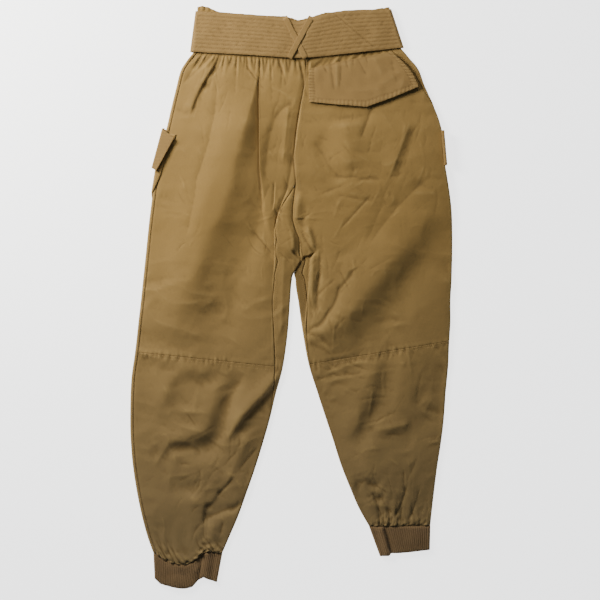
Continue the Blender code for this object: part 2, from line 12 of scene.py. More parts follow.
import bpy
import numpy as np
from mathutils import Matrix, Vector


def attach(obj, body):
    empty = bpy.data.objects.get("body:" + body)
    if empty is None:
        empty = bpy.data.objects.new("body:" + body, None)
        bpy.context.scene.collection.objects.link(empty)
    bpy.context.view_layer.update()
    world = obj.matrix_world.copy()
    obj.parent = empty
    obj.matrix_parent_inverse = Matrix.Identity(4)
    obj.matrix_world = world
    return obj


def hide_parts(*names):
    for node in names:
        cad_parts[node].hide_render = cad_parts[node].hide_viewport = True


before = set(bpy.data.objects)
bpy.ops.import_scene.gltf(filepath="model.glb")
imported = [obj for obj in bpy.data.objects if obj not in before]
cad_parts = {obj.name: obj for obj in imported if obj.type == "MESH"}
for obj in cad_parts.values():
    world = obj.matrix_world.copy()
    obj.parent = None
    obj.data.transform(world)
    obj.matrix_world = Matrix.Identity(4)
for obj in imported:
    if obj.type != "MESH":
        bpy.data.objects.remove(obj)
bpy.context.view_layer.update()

# ==== core: tables and heights, millimetres
MM = 0.001
CLOTH = 1.2  # the solid model's wall; the shells below are thinner and lie in its middle
SHELL = 0.8
BELT_CLOTH = 2.0
CUFF_CLOTH = 1.8
SEAM = 0.3
LAYER = 2.1
STRAP_W = 9.0
STRAP_CLOTH = 1.2
KNEE = 15
MOST_Z = 22.0  # the highest fold
HIP_END, LEG_START = 7.4, 8.3
LEFT_CUFF, RIGHT_CUFF = 23, 22

CENTRE = (
    (20, 417),
    (23, 404),
    (25, 392),
    (24, 368),
    (20, 341),
    (13, 307),
    (8, 269),
    (5, 228),
    (8, 190),
    (3, 150),
    (7, 113),
    (15, 72),
    (15, 60),
)
# outer_x, outer_y, inner_x, inner_y, edge_r, loft, wrap_out, wrap_in
LEFT_LEG = (
    (-160, 424, 20, 417, 1.6, 0.0, 7, 0),
    (-164, 411, 23, 404, 1.6, 0.0, 7, 0),
    (-173, 400, 25, 392, 1.6, 0.0, 7, 0),
    (-185, 381, 24, 368, 2.2, 2.0, 7, 0),
    (-193, 351, 20, 341, 2.4, 2.6, 7, 0),
    (-201, 318, 13, 307, 2.4, 3.0, 7, 0),
    (-209, 281, 8, 269, 2.4, 3.2, 7, 0),
    (-221, 239, 5, 228, 2.4, 3.4, 7, 0),
    (-229, 195, 8, 190, 2.4, 3.6, 7, 2),
    (-235, 151, 3, 150, 2.4, 3.8, 7, 21),
    (-240, 111, 5, 113, 2.4, 3.8, 7, 35),
    (-244, 72, 13, 72, 2.4, 3.8, 7, 42),
    (-248, 34, 2, 34, 2.4, 3.8, 7, 31),
    (-252, -5, -2, -10, 2.4, 3.6, 7, 30),
    (-257, -47, -6, -62, 2.4, 3.4, 7, 24),
    (-262, -92, -14, -118, 2.4, 3.2, 7, 14),
    (-268, -136, -26, -163, 2.4, 3.2, 7, 6),
    (-270, -181, -36, -205, 2.4, 3.2, 7, 2),
    (-270, -227, -48, -247, 2.4, 3.0, 7, 2),
    (-267, -272, -61, -289, 2.4, 2.8, 7, 2),
    (-261, -316, -75, -329, 2.4, 2.6, 7, 2),
    (-252, -361, -89, -368, 2.4, 2.4, 7, 2),
    (-242, -400, -104, -403, 2.4, 1.8, 7, 2),
    (-231, -431, -116, -431, 2.4, 0.8, 7, 2),
)
RIGHT_LEG = (
    (178, 430, 20, 417, 1.6, 0.0, 19, 0),
    (184, 419, 23, 404, 1.6, 0.0, 18, 0),
    (196, 405, 25, 392, 1.6, 0.0, 16, 0),
    (214, 383, 24, 368, 2.2, 2.0, 12, 0),
    (225, 354, 20, 341, 2.4, 2.6, 7, 0),
    (242, 316, 13, 307, 2.4, 3.0, 0, 0),
    (253, 279, 8, 269, 2.4, 3.2, -6, 0),
    (256, 239, 5, 228, 2.4, 3.4, -7, 0),
    (263, 195, 8, 190, 2.4, 3.6, -7, 0),
    (269, 153, 3, 150, 2.4, 3.8, -7, 0),
    (271, 113, 9, 113, 2.4, 3.8, -7, 0),
    (271, 72, 17, 72, 2.4, 3.8, -7, 6),
    (270, 32, 8, 29, 2.4, 3.8, -7, 17),
    (268, -5, 13, -10, 2.4, 3.6, -7, 16),
    (268, -42, 20, -59, 2.4, 3.4, -7, 8),
    (266, -74, 30, -113, 2.4, 3.2, -7, 3),
    (264, -119, 44, -158, 2.4, 3.2, -7, 2),
    (260, -161, 57, -198, 2.4, 3.2, -7, 2),
    (257, -203, 71, -240, 2.4, 3.0, -7, 2),
    (252, -245, 84, -281, 2.4, 2.8, -7, 2),
    (245, -291, 99, -319, 2.4, 2.4, -7, 2),
    (239, -339, 114, -354, 2.4, 1.8, -7, 2),
    (234, -385, 132, -386, 2.4, 0.8, -7, 2),
)
# x_top, y_top, x_bottom, y_bottom, y_frill
WAIST = (
    (-160, 480, -169, 412, 489),
    (-86, 475, -86, 407, 478),
    (-13, 468, -13, 402, 471),
    (12, 462, 12, 401, 465),
    (35, 468, 35, 402, 471),
    (91, 480, 91, 408, 483),
    (168, 483, 189, 419, 487),
)
LAP_LEFT, LAP_RIGHT, LAP_RAMP = -32.0, 30.0, 80.0
WAIST_R = 1.6
BELT_RISE = CLOTH / 2 + SEAM + BELT_CLOTH / 2

PATCH_FROM, PATCH_TO = 6.2, 9.2
PATCH_REACH = 128.0
FLAP_REACH = 130.0
LEFT_REAR = ((6.2, 20.0), (6.4, 20.0), (7.04, 12.5), (7.73, 11.0), (8.15, 6.0), (8.54, 0.0), (9.2, -10.0))
RIGHT_REAR = ((6.2, -4.0), (9.2, -14.0))
LEFT_FLAP = {"top_edge": (-216, 282), "top_rear": (-195, 265), "low_rear": (-225, 211), "low_edge": (-233, 216)}
RIGHT_FLAP = {"top_edge": (256, 279), "top_rear": (254, 277), "low_rear": (259, 222), "low_edge": (261, 221)}
# x_top, y_top, x_bottom, y_bottom
BACK_FLAP = (
    (30, 382, 32, 327),
    (66, 391, 79, 322),
    (116, 401, 127, 318),
    (142, 406, 171, 334),
    (167, 411, 213, 352),
)
FLAP_GAP, FLAP_LIFT = 2.1, 1.2

# The folds of the top layer, one a row: its line, how far its middle bows to +X, the half-widths
# towards -X and +X (for a level line, towards -Y and +Y), its height, and how square its profile is.
FOLD_COLUMNS = ("x0", "y0", "x1", "y1", "bow", "w_minus", "w_plus", "height", "power")
FOLDS = (
    (-131, 388, -168, 312, -3, 13, 4, 2.6, 1.4),  # hip left ridge
    (-121, 402, -129, 384, 0, 2, 8, -1.8, 1.2),  # hip left groove
    (-126, 390, -147, 353, -1, 2.2, 10, -3.0, 1.2),  # hip left groove
    (-144, 360, -166, 312, -2, 2.6, 13, -2.5, 1.3),  # hip left groove
    (-126, 386, -129, 307, 2, 6, 8, -1.3, 1.3),  # soft b1
    (-128, 311, -158, 200, 3, 6, 8, -1.6, 1.3),  # soft b2
    (-158, 200, -175, 106, 2, 7, 8, -1.3, 1.3),  # soft b3
    (-62, 109, -30, 70, 0, 8, 3, -2.4, 1.4),  # pleat foot
    (2, 326, -25, 304, -3, 5, 6, -1.6, 1.3),  # f top
    (-24, 307, -42, 197, -5, 7, 12, -2.2, 1.6),  # f side
    (-5, 318, -13, 230, 0, 7, 7, 2.3, 1.3),  # f patch
    (3, 237, -18, 139, 2, 4, 5, -1.6, 1.3),  # soft v
    (-25, 143, -17, 128, 0, 3, 2, -2, 1.3),  # h foot
    (12, 172, 3, 74, -3, 26, 10, 5.2, 1.5),  # crotch ridge
    (28, 116, 38, 82, 0, 12, 4, 3.4, 1.5),  # crotch right
    (6, 131, 24, 132, -1.5, 15, 2.2, -2.2, 1.5),  # crotch pit
    (20, 131, 31, 140, -1, 9, 2.2, -2.0, 1.4),  # crotch pit
    (18, 109, 41, 72, -2, 2.5, 3, -1.6, 1.4),  # crotch line
    (3.5, 76, 16, 62.5, 0, 1.6, 3.6, -4.6, 1.6),  # crotch line
    (-12, 71, -17, -55, 0, 8, 8, 1.7, 1.3),  # thigh inner
    (-186, -190, -148, -160, 3, 26, 24, 1.3, 2.2),  # knee bump
    (-160, -262, -200, -268, 0, 12, 8, 1.8, 1.7),  # shin small
    (-70, -236, -108, -312, -2, 16, 10, 2.6, 1.5),  # x ridge
    (-121, -300, -165, -345, 0, 18, 12, 2.4, 1.5),  # x bright
    (-98, -304, -121, -330, 1, 2.4, 9, -2.0, 1.3),  # x line1
    (-118, -326, -140, -354, 3, 5.5, 15, -3.3, 1.5),  # x line1
    (-139, -348, -147, -380, 1, 5, 16, -2.4, 1.5),  # x line1
    (-73, -335, -100, -358, 2, 8, 5, -3.8, 1.4),  # x line3
    (-98, -355, -140, -371, -2, 9, 6, -3.6, 1.4),  # x line3
    (-129, -380, -134, -410, 0, 10, 9, 1.5, 1.6),  # pouch
    (-145, -352, -147, -405, 0, 3, 9, -1.2, 1.4),  # pouch
    (-114, -378, -119, -400, 0, 4, 8, -1.6, 1.4),  # pouch
    (42, 262, 82, 200, -5, 11, 18, -2.2, 1.6),  # o valley
    (77, 202, 146, 198, 0, 5, 6, -1.5, 1.3),  # o foot
    (91, 294, 102, 220, 0, 22, 26, 3.8, 1.7),  # o bump
    (197, 287, 168, 210, 0, 14, 5, 1.7, 1.35),  # p ridge
    (206, 282, 178, 203, 0, 8, 13, -1.5, 1.6),  # p crease
    (136, 319, 118, 270, 0, 4, 6, -1.5, 1.3),  # n crease
    (133, 170, 87, 119, 0, 2.5, 2.5, -1, 1.3),  # q1
    (160, 180, 126, 94, 2, 5, 5, -0.5, 1.4),  # q2
    (82, 171, 136, 161, 0, 3, 3, -0.8, 1.3),  # q3
    (225, 197, 136, 96, -5, 14, 8, -1.7, 1.35),  # q4
    (81, 17, 66, -22, 2, 3.5, 9, -2.4, 1.3),  # s line
    (66, -20, 44, -50, 1, 3.5, 8, -2.6, 1.3),  # s line
    (104, 44, 80, 14, 1, 3, 6, -1.7, 1.3),  # s line
    (46, -46, 26, -57, 0, 3, 5, -1.4, 1.3),  # s line
    (48, 38, 42, -20, 0, 3, 4, -1.2, 1.3),  # s side
    (62, 26, 50, -30, 0, 9, 8, 1.2, 1.5),  # s blob
    (24, -60, 60, -72, 2, 3, 5, -1.2, 1.3),  # s low
    (29, -67, 66, -87, 0, 5, 4, 0.9, 1.3),  # s lowridge
    (37, 68, 34, -8, 0, 5, 5, 2.4, 1.3),  # right strip
    (48, 71, 42, 5, 3, 4, 4, -2, 1.3),  # right groove
    (71, -128, 40, -141, 0, 5, 6, -1.4, 1.4),  # rk fold
    (44, -108, 78, -118, 2, 4, 5, -0.7, 1.4),  # rk fold
    (58, -122, 92, -110, 0, 4, 5, -0.6, 1.4),  # rk fold
    (89, -129, 124, -136, 0, 5, 5, -1.2, 1.3),  # rk soft
    (190, -92, 176, -190, 0, 12, 16, 1.2, 1.8),  # rshin 3
    (142, -221, 196, -212, -2, 9, 8, 2.2, 1.6),  # r blob
    (232, -245, 254, -242, 0, 3, 3, 1.1, 1.3),  # r tick
    (108, -318, 132, -308, -3, 9, 12, -2.2, 1.6),  # rl 1
    (130, -306, 149, -316, -2, 9, 10, -1.8, 1.6),  # rl 1
    (134, -312, 151, -340, 2, 10, 9, -2.6, 1.7),  # rl 2
    (149, -334, 165, -366, 2, 9, 8, -3.0, 1.6),  # rl 2
    (138, -330, 156, -377, 0, 3, 5, -2.2, 1.3),  # rl 3
    (194, -318, 174, -370, 2, 3, 5, -1.8, 1.3),  # rl 3
    (215, -326, 196, -377, 2, 3, 5, -1.5, 1.3),  # rl 3
    (186, -352, 184, -378, 0, 2.4, 4, -1.4, 1.3),  # rl 3
)
# Long bent folds, each along its own line: height at the line, and half-widths to its left and to its right
# as one goes along it.
BAND_COLUMNS = ("x", "y", "height", "left", "right")
BANDS = {
    "right shin, long ridge": (
        (104, -188, 0.0, 40, 26),
        (116, -232, 2.6, 54, 28),
        (136, -290, 4.2, 58, 28),
        (154, -338, 3.2, 48, 24),
        (168, -378, 0.0, 36, 18),
    ),
    "right shin, ridge": (
        (146, -92, 0.0, 14, 20),
        (140, -120, 2.2, 15, 22),
        (134, -150, 3.4, 16, 24),
        (122, -182, 3.8, 16, 24),
        (106, -212, 3.2, 15, 20),
        (94, -240, 0.0, 14, 16),
    ),
    "left knee, ridge over it": (
        (-120, -112, 0.0, 10, 10),
        (-146, -124, 1.8, 12, 12),
        (-174, -122, 2.8, 14, 14),
        (-198, -136, 3.0, 14, 16),
        (-214, -164, 2.4, 14, 16),
        (-226, -200, 0.0, 14, 14),
    ),
    "left shin, main ridge": (
        (-112, -132, 0.0, 16, 14),
        (-122, -152, 2.6, 17, 18),
        (-134, -180, 4.2, 18, 22),
        (-140, -208, 4.6, 18, 22),
        (-152, -226, 4.4, 16, 20),
        (-176, -232, 3.6, 14, 18),
        (-204, -240, 2.0, 14, 16),
        (-228, -252, 0.0, 12, 12),
    ),
    "left thigh, crest": (
        (-62, 346, 0.0, 20, 36),
        (-76, 304, 6.0, 23, 42),
        (-94, 252, 8.6, 26, 46),
        (-110, 200, 10.0, 29, 48),
        (-130, 142, 11.2, 33, 50),
        (-152, 85, 12.0, 35, 50),
        (-172, 30, 10.8, 39, 48),
        (-190, -28, 7.8, 42, 46),
        (-206, -80, 3.6, 40, 40),
        (-216, -120, 0.0, 34, 36),
    ),
    "left thigh, hollow": (
        (-54, 200, 0.0, 10, 20),
        (-53, 158, -2.8, 12, 30),
        (-61, 110, -4.0, 16, 34),
        (-78, 60, -4.6, 20, 36),
        (-98, 10, -4.0, 25, 36),
        (-114, -45, -3.0, 28, 34),
        (-128, -96, 0.0, 27, 30),
    ),
    "left shin, main hollow": (
        (-80, -126, 0.0, 10, 14),
        (-93, -148, -4.8, 11, 15),
        (-106, -170, -5.8, 12, 17),
        (-112, -200, -5.8, 14, 19),
        (-118, -228, -5.6, 15, 19),
        (-135, -249, -5.3, 16, 17),
        (-160, -255, -4.6, 18, 15),
        (-190, -254, -3.6, 18, 14),
        (-226, -268, 0.0, 16, 12),
    ),
    "left knee, bent hollow": (
        (-108, -128, 0.0, 12, 12),
        (-126, -139, -2.4, 18, 15),
        (-148, -146, -3.4, 24, 18),
        (-168, -146, -2.8, 26, 20),
        (-186, -150, -1.6, 26, 22),
        (-204, -156, 0.0, 24, 20),
    ),
    "left shin, slanting ridge": (
        (-16, -126, 0.0, 7, 10),
        (-31, -141, 4.4, 7, 14),
        (-47, -161, 6.6, 7.5, 17),
        (-68, -182, 7.6, 8, 18),
        (-87, -205, 7.2, 8.5, 18),
        (-105, -230, 5.2, 9.5, 17),
        (-120, -252, 0.0, 12, 14),
    ),
    "right thigh, ridge": (
        (256, 166, 0.0, 24, 30),
        (230, 134, 3.7, 26, 38),
        (194, 93, 5.8, 28, 44),
        (154, 46, 7.3, 26, 44),
        (124, 8, 8.1, 25, 38),
        (94, -25, 8.1, 25, 30),
        (66, -48, 6.8, 22, 24),
        (44, -60, 5.2, 15, 20),
        (24, -68, 2.0, 9, 16),
    ),
    "right thigh, hollow": (
        (264, 122, 0.0, 26, 20),
        (238, 86, -2.2, 32, 26),
        (204, 37, -3.6, 33, 28),
        (176, -10, -4.6, 32, 28),
        (150, -52, -4.9, 30, 28),
        (120, -84, -4.4, 28, 28),
        (90, -101, -3.2, 22, 22),
        (56, -106, 0.0, 16, 14),
    ),
    "right shin, hollow": (
        (172, -74, 0.0, 26, 18),
        (166, -110, -3.4, 30, 24),
        (161, -143, -4.4, 31, 26),
        (151, -172, -4.6, 30, 26),
        (135, -202, -4.4, 27, 24),
        (120, -229, -3.6, 24, 21),
        (108, -256, 0.0, 20, 16),
    ),
    "right shin, dark side": (
        (264, -172, 0.0, 26, 22),
        (238, -198, -2.6, 28, 24),
        (206, -222, -3.2, 30, 23),
        (172, -238, -2.8, 30, 20),
        (138, -246, 0.0, 26, 14),
    ),
}
# Crisp creases: a line from top to bottom, where the cloth on its -X side sinks and that on its +X side
# stands up. Rows: x, y, depth and width of the low side, height and width of the high side.
CREASE_COLUMNS = ("x", "y", "low", "w_low", "high", "w_high", "softness")
CREASES = {
    "long pleat": (
        (-52.5, 374, 0.0, 3, 0.0, 8, 0.8),
        (-52.3, 362, 4.0, 6, 0.4, 20, 0.8),
        (-51.7, 342, 6.4, 11, 0.5, 24, 0.8),
        (-51.5, 320, 8.0, 17, 0.5, 26, 0.8),
        (-51.0, 300, 8.8, 23, 0.5, 26, 0.8),
        (-50.9, 279, 8.8, 30, 0.5, 26, 0.9),
        (-51.0, 250, 8.0, 40, 0.6, 26, 1.0),
        (-51.5, 214, 6.0, 46, 0.8, 24, 1.3),
        (-49.0, 188, 3.6, 48, 0.9, 20, 2.0),
        (-46.0, 143, 2.4, 44, 0.6, 16, 3.0),
        (-38.0, 105, 1.2, 34, 0.4, 12, 6.0),
        (-32.0, 74, 0.6, 14, 0.2, 10, 6.0),
        (-30.0, 60, 0.0, 8, 0.0, 8, 6.0),
    ),
    "centre seam, left side": (
        (20, 398, 0.0, 6.4, 0.0, 6, 1),
        (24, 380, 2.0, 8, 0.5, 6, 1),
        (22, 352, 2.4, 9.6, 0.7, 7, 1),
        (16, 318, 2.8, 12.8, 0.8, 8, 1),
        (10, 280, 2.8, 12.8, 0.8, 8, 1),
        (5, 236, 2.4, 12.8, 0.8, 9, 1.5),
        (7, 205, 1.2, 12.8, 0.8, 9, 2),
        (8, 188, 0.0, 8, 0.4, 9, 2),
        (6, 170, 0.0, 8, 0.0, 9, 2),
    ),
    "inseam, left thigh": (
        (-3, 186, 0.0, 6.4, 0.0, 5, 1),
        (-12, 165, 1.8, 9.6, 0.8, 8, 1),
        (-22, 139, 2.6, 12.8, 1.1, 12, 1),
        (-27.5, 112, 3.2, 17.6, 1.1, 16, 1),
        (-27.8, 70, 3.0, 17.6, 0.8, 16, 1),
        (-28.6, 45, 1.8, 16, 0.4, 14, 1),
        (-31, 20, 1.0, 12.8, 0.2, 12, 1),
        (-32, -40, 0.6, 12.8, 0.1, 12, 1),
        (-32, -110, 0.0, 12.8, 0.0, 12, 1),
    ),
    "beside the inseam": (
        (-27, 196, 0.0, 4, 0.0, 4, 0.8),
        (-27.5, 182, 1.2, 5, 0.6, 4, 0.9),
        (-28.5, 158, 1.3, 6, 0.5, 3, 0.9),
        (-31, 143, 0.0, 4, 0.0, 4, 0.9),
    ),
}
# The right leg's edge at the crotch lies flat and low, under the lip above it: the corners round it.
PRESSED = (
    (17.0, 61.5),
    (21.2, 68.0),
    (30.0, 70.0),
    (40.3, 75.5),
    (33.0, 64.0),
    (30.5, 40.0),
    (28.0, 0.0),
    (25.5, -25.0),
    (22.0, -60.0),
    (6.0, -60.0),
    (-4.0, 30.0),
    (4.0, 40.0),
)
# Small gathers: the trough's line, half-width and depth.
GATHER_COLUMNS = ("x0", "y0", "x1", "y1", "half_width", "depth")
GATHERS = (
    # under the belt, from its left end
    (-157, 407, -182, 389, 2.2, 0.7),
    (-149, 408, -168, 379, 2.0, 1.5),
    (-141, 407, -150, 394, 1.4, 0.6),
    (-134, 406, -159, 381, 2.4, 1.5),
    (-127, 406, -133, 393, 1.4, 0.5),
    (-120, 405, -127, 384, 2.6, 2.0),
    (-112, 402, -117, 372, 1.6, 0.6),
    (-107, 403, -104, 394, 1.2, 0.5),
    (-100, 401, -105, 386, 2.2, 0.9),
    (-91, 402, -93, 364, 1.5, 0.7),
    (-85, 403, -83, 392, 1.6, 0.6),
    (-78, 402, -79, 384, 1.3, 0.4),
    (-74, 401, -71, 378, 1.8, 1.0),
    (-71, 382, -55, 362, 1.6, 1.2),
    (-66, 402, -64, 391, 1.5, 0.7),
    (-59, 402, -61, 376, 1.4, 0.6),
    (-52.5, 404, -52.5, 366, 1.6, 1.1),
    (-47, 401, -46, 384, 1.6, 1.2),
    (-39, 400, -44, 376, 2.0, 1.0),
    (-35, 400, -33, 356, 1.4, 0.6),
    (-28, 400, -31, 386, 1.8, 0.7),
    (-20, 399, -12, 370, 2.0, 1.4),
    (-13, 399, -18, 348, 1.4, 0.4),
    (-8, 399, -6, 386, 1.4, 0.8),
    (0, 399, -4, 374, 2.0, 0.8),
    (7, 398, 9, 382, 1.6, 0.9),
    (14, 399, 22, 358, 1.8, 1.1),
    (29, 399, 28, 380, 2.0, 1.3),
    # between the belt and the back pocket's flap
    (54, 400, 37, 384, 2.0, 1.6),
    (63, 402, 50, 387, 1.8, 1.3),
    (74, 405, 62, 391, 2.2, 1.6),
    (87, 406, 79, 394, 1.8, 1.0),
    (99, 409, 88, 399, 2.2, 1.4),
    (116, 411, 106, 397, 2.0, 1.5),
    (127, 413, 122, 404, 1.8, 1.0),
    (139, 414, 133, 402, 2.0, 1.2),
    (152, 416, 147, 404, 2.2, 1.3),
    (163, 417, 160, 408, 1.8, 1.0),
)


def smoothstep(x, a, b):
    t = np.clip((np.asarray(x, float) - a) / (b - a), 0.0, 1.0)
    return t * t * (3 - 2 * t)


def plateau(x, a, b, ramp):
    """1 between a and b, falling to 0 over ramp outside them."""
    return smoothstep(x, a - ramp, a) * (1 - smoothstep(x, b, b + ramp))


def bell(x, width, power=2.0):
    return np.exp(-np.abs(np.asarray(x, float) / width) ** power)


def at_station(table, v):
    """The rows of a table at station numbers v, along smooth curves through the rows."""
    rows = np.asarray(table, float)
    v = np.clip(np.asarray(v, float), 0, len(rows) - 1)
    i = np.minimum(v.astype(int), len(rows) - 2)
    u = (v - i)[..., None]
    p0, p1 = rows[np.maximum(i - 1, 0)], rows[i]
    p2, p3 = rows[i + 1], rows[np.minimum(i + 2, len(rows) - 1)]
    m1, m2 = (p2 - p0) / 2, (p3 - p1) / 2
    u2, u3 = u * u, u * u * u
    return (2 * u3 - 3 * u2 + 1) * p1 + (u3 - 2 * u2 + u) * m1 + (3 * u2 - 2 * u3) * p2 + (u3 - u2) * m2


def waves(x, y, size, seed, count=14, stretch=1.0):
    """A smooth random field of mean 0 whose features are about size millimetres across."""
    random = np.random.default_rng(seed)
    z = np.zeros(np.shape(x))
    for _ in range(count):
        a, k, p = random.uniform(0, math.tau), math.pi / size * random.uniform(0.6, 1.5), random.uniform(0, math.tau)
        z += np.sin(k * (x * math.cos(a) * stretch + y * math.sin(a)) + p)
    return z / math.sqrt(count / 2)


# ---------------------------------------------------------------- relief of the top layer
WAIST_FINE = at_station(WAIST, np.linspace(0, len(WAIST) - 1, 121))


def belt_bottom(x):
    return np.interp(x, WAIST_FINE[:, 2], WAIST_FINE[:, 3])


def add_folds(z, x, y, rows):
    """Adds each fold to z, touching only the points near it."""
    for x0, y0, x1, y1, bow, w_minus, w_plus, height, power in rows:
        dx, dy = x1 - x0, y1 - y0
        length = math.hypot(dx, dy)
        nx, ny = dy / length, -dx / length
        if nx < -0.25 or (abs(nx) <= 0.25 and ny < 0):
            nx, ny = -nx, -ny
        reach = 2.6 * max(w_minus, w_plus) + abs(bow) + 0.2 * length + 8
        near = (x > min(x0, x1) - reach) & (x < max(x0, x1) + reach) & (y > min(y0, y1) - reach) & (y < max(y0, y1) + reach)
        if not near.any():
            continue
        px, py = x[near] - x0, y[near] - y0
        a = (px * dx + py * dy) / length**2
        inside = np.clip(a, 0, 1)
        t = px * nx + py * ny - 4 * bow * inside * (1 - inside)
        end = 10.0 / length + 0.12
        ends = smoothstep(a, -end / 2, end / 2) * (1 - smoothstep(a, 1 - end / 2, 1 + end / 2))
        z[near] += height * ends * np.exp(-np.abs(t / np.where(t < 0, w_minus, w_plus)) ** power)


def add_bands(z, x, y):
    """Adds each long fold to z. Across its line its height dies out over the half-width of that side."""
    for rows in BANDS.values():
        line = at_station(rows, np.linspace(0, len(rows) - 1, 4 * (len(rows) - 1) + 1))
        reach = 2.3 * line[:, 3:].max()
        (left_end, low_end), (right_end, high_end) = line[:, :2].min(0) - reach, line[:, :2].max(0) + reach
        near = (x > left_end) & (x < right_end) & (y > low_end) & (y < high_end)
        if not near.any():
            continue
        px, py = x[near], y[near]
        closest, hand, at = np.full(px.shape, 1e9), np.zeros(px.shape), np.zeros(px.shape)
        for k, (p, q) in enumerate(zip(line[:-1], line[1:])):
            dx, dy = q[0] - p[0], q[1] - p[1]
            a = np.clip(((px - p[0]) * dx + (py - p[1]) * dy) / (dx * dx + dy * dy), 0, 1)
            gap = np.hypot(px - p[0] - a * dx, py - p[1] - a * dy)
            nearer = gap < closest
            closest = np.where(nearer, gap, closest)
            hand = np.where(nearer, dx * (py - p[1]) - dy * (px - p[0]), hand)
            at = np.where(nearer, k + a, at)
        height, to_left, to_right = (np.interp(at, np.arange(len(line)), line[:, c]) for c in (2, 3, 4))
        z[near] += height * np.exp(-np.abs(closest / np.where(hand > 0, to_left, to_right)) ** 1.9)


def gather_rows():
    """A gather is sharpest and deepest at its start, then widens and dies out along its line."""
    rows = []
    for k, (x0, y0, x1, y1, half, depth) in enumerate(GATHERS):
        dx, dy = x1 - x0, y1 - y0
        steep, slow = (0.7, 1.5) if k % 3 else (1.4, 0.8)
        for part, (a, b, share, wide) in enumerate(((-0.1, 0.42, 2.7, 0.85), (0.3, 0.78, 1.5, 1.4), (0.65, 1.6, 0.7, 2.3))):
            rows.append((x0 + dx * a, y0 + dy * a, x0 + dx * b, y0 + dy * b, 0,
                         half * wide * steep, half * wide * slow, -depth * share, 1.3))
        side = half * (2.2 if k % 2 else 2.8)
        rows.append((x0 + side, y0 - 3, x0 + side + dx * 0.8, y0 - 3 + dy * 0.8, 0, half * 0.9, half * 1.2, depth * 0.7, 1.5))
    return rows


def small_creases(count, seed):
    """Short creases that follow the folds near them, gentler above the thigh."""
    random = np.random.default_rng(seed)
    rows = []
    for _ in range(count):
        x0, y0, x1, y1 = FOLDS[random.integers(len(FOLDS))][:4]
        t = random.uniform(-0.1, 1.1)
        x, y = x0 + (x1 - x0) * t + random.normal(0, 26), y0 + (y1 - y0) * t + random.normal(0, 26)
        a = math.atan2(y1 - y0, x1 - x0) + random.normal(0, 0.38)
        length = random.uniform(12, 46)
        half = random.uniform(0.8, 2.6)
        height = random.choice((-1, -1, 1)) * random.uniform(0.22, 0.70) * half / 2.2
        height *= 0.7 if y > 120 else 1.0
        if math.hypot(x + 162, y + 182) < 34 or math.hypot(x + 108, y + 345) < 48:
            height *= 0.2
        dx, dy = math.cos(a) * length / 2, math.sin(a) * length / 2
        rows.append((x - dx, y - dy, x + dx, y + dy, random.normal(0, 1.6), half, half * random.uniform(0.7, 1.5), height, 1.5))
    return rows


GATHER_ROWS = gather_rows()
CREASE_ROWS = small_creases(520, 11)


def flap_cover(x, y):
    """1 under the back pocket's flap, 0 clear of it."""
    rows = np.asarray(BACK_FLAP, float)
    share = np.linspace(0, len(rows) - 1, 61)
    edge = np.stack([np.interp(share, range(len(rows)), rows[:, k]) for k in range(4)], -1)
    top, bottom = np.interp(x, edge[:, 0], edge[:, 1]), np.interp(x, edge[:, 2], edge[:, 3])
    left = 30 + (382 - y) * 0.04
    right = np.interp(y, (334, 352, 411), (171, 213, 167))
    return smoothstep(np.minimum(np.minimum(top - y, y - bottom), np.minimum(x - left, right - x)), -3, 4)


def creases(x, y):
    z = np.zeros(np.shape(x))
    for rows in CREASES.values():
        rows = np.array(rows[::-1], float)
        near = (y > rows[0, 1]) & (y < rows[-1, 1]) & (x > rows[:, 0].min() - 60) & (x < rows[:, 0].max() + 60)
        if not near.any():
            continue
        px, py = x[near], y[near]
        line, low, w_low, high, w_high, soft = (np.interp(py, rows[:, 1], rows[:, k]) for k in (0, 2, 3, 4, 5, 6))
        t = px - line
        cliff = smoothstep(t / soft, -1, 1)
        z[near] += high * np.exp(-np.abs(t / w_high) ** 1.7) * cliff - low * np.clip(1 + t / w_low, 0, 1) ** 1.25 * (1 - cliff)
    return z


# The long pleat folds over its low side: y, and how far its edge reaches over.
PLEAT_OVERLAP = ((150, 0.0), (188, 0.9), (214, 1.8), (279, 2.9), (330, 2.9), (360, 1.8), (374, 0.0))


def fold_over(points):
    """Moves the cloth beside the long pleat over the crease."""
    x, y = points[..., 0], points[..., 1]
    over, line = np.array(PLEAT_OVERLAP), np.array(CREASES["long pleat"][::-1])
    t = x - np.interp(y, line[:, 1], line[:, 0])
    reach = np.interp(y, over[:, 0], over[:, 1])
    moved = points.copy()
    moved[..., 0] = x - reach * smoothstep(t, -0.7, 0.7) * np.exp(-((np.maximum(t, 0) / 9.0) ** 1.6))
    return moved


def cuff_gathers(v, last, across, side):
    """Cloth gathered into a cuff: chunky puckers at its seam, and a soft puff above them."""
    t = (last - np.asarray(v, float)) * 31.0
    a = across + 4.0 * np.sin(t / 9 + side) + 3.0 * np.sin(across / 13 + side)
    near = smoothstep(t, -0.5, 3) * np.exp(-np.abs(t / (12 + 5 * np.sin(across / 11.0 + side))) ** 1.8)
    far = smoothstep(t, 2, 12) * np.exp(-np.abs(t / 30) ** 1.6)
    crisp = 0.62 - np.abs(np.sin(a * math.pi / 11.8 + 0.8 * np.sin(a / 7.1))) ** 0.75
    tight = 0.5 - np.abs(np.sin(a * math.pi / 7.1 + 1.3 * np.sin(a / 15 + 1) + t / 6)) ** 0.8
    loose = np.sin(a * math.tau / 25 + 1.4 * np.sin(a / 19 + 2 * side))
    scrunch = 0.9 * near * waves(across, t * 1.4, 6.5, 71 + int(side), 20)
    return (1.25 if side < 0 else 0.72) * (scrunch - 3.0 * near * crisp - 1.3 * near * tight) + 0.9 * far * loose + 1.7 * bell(t - 9, 8) - 1.0 * bell(t, 2.4)


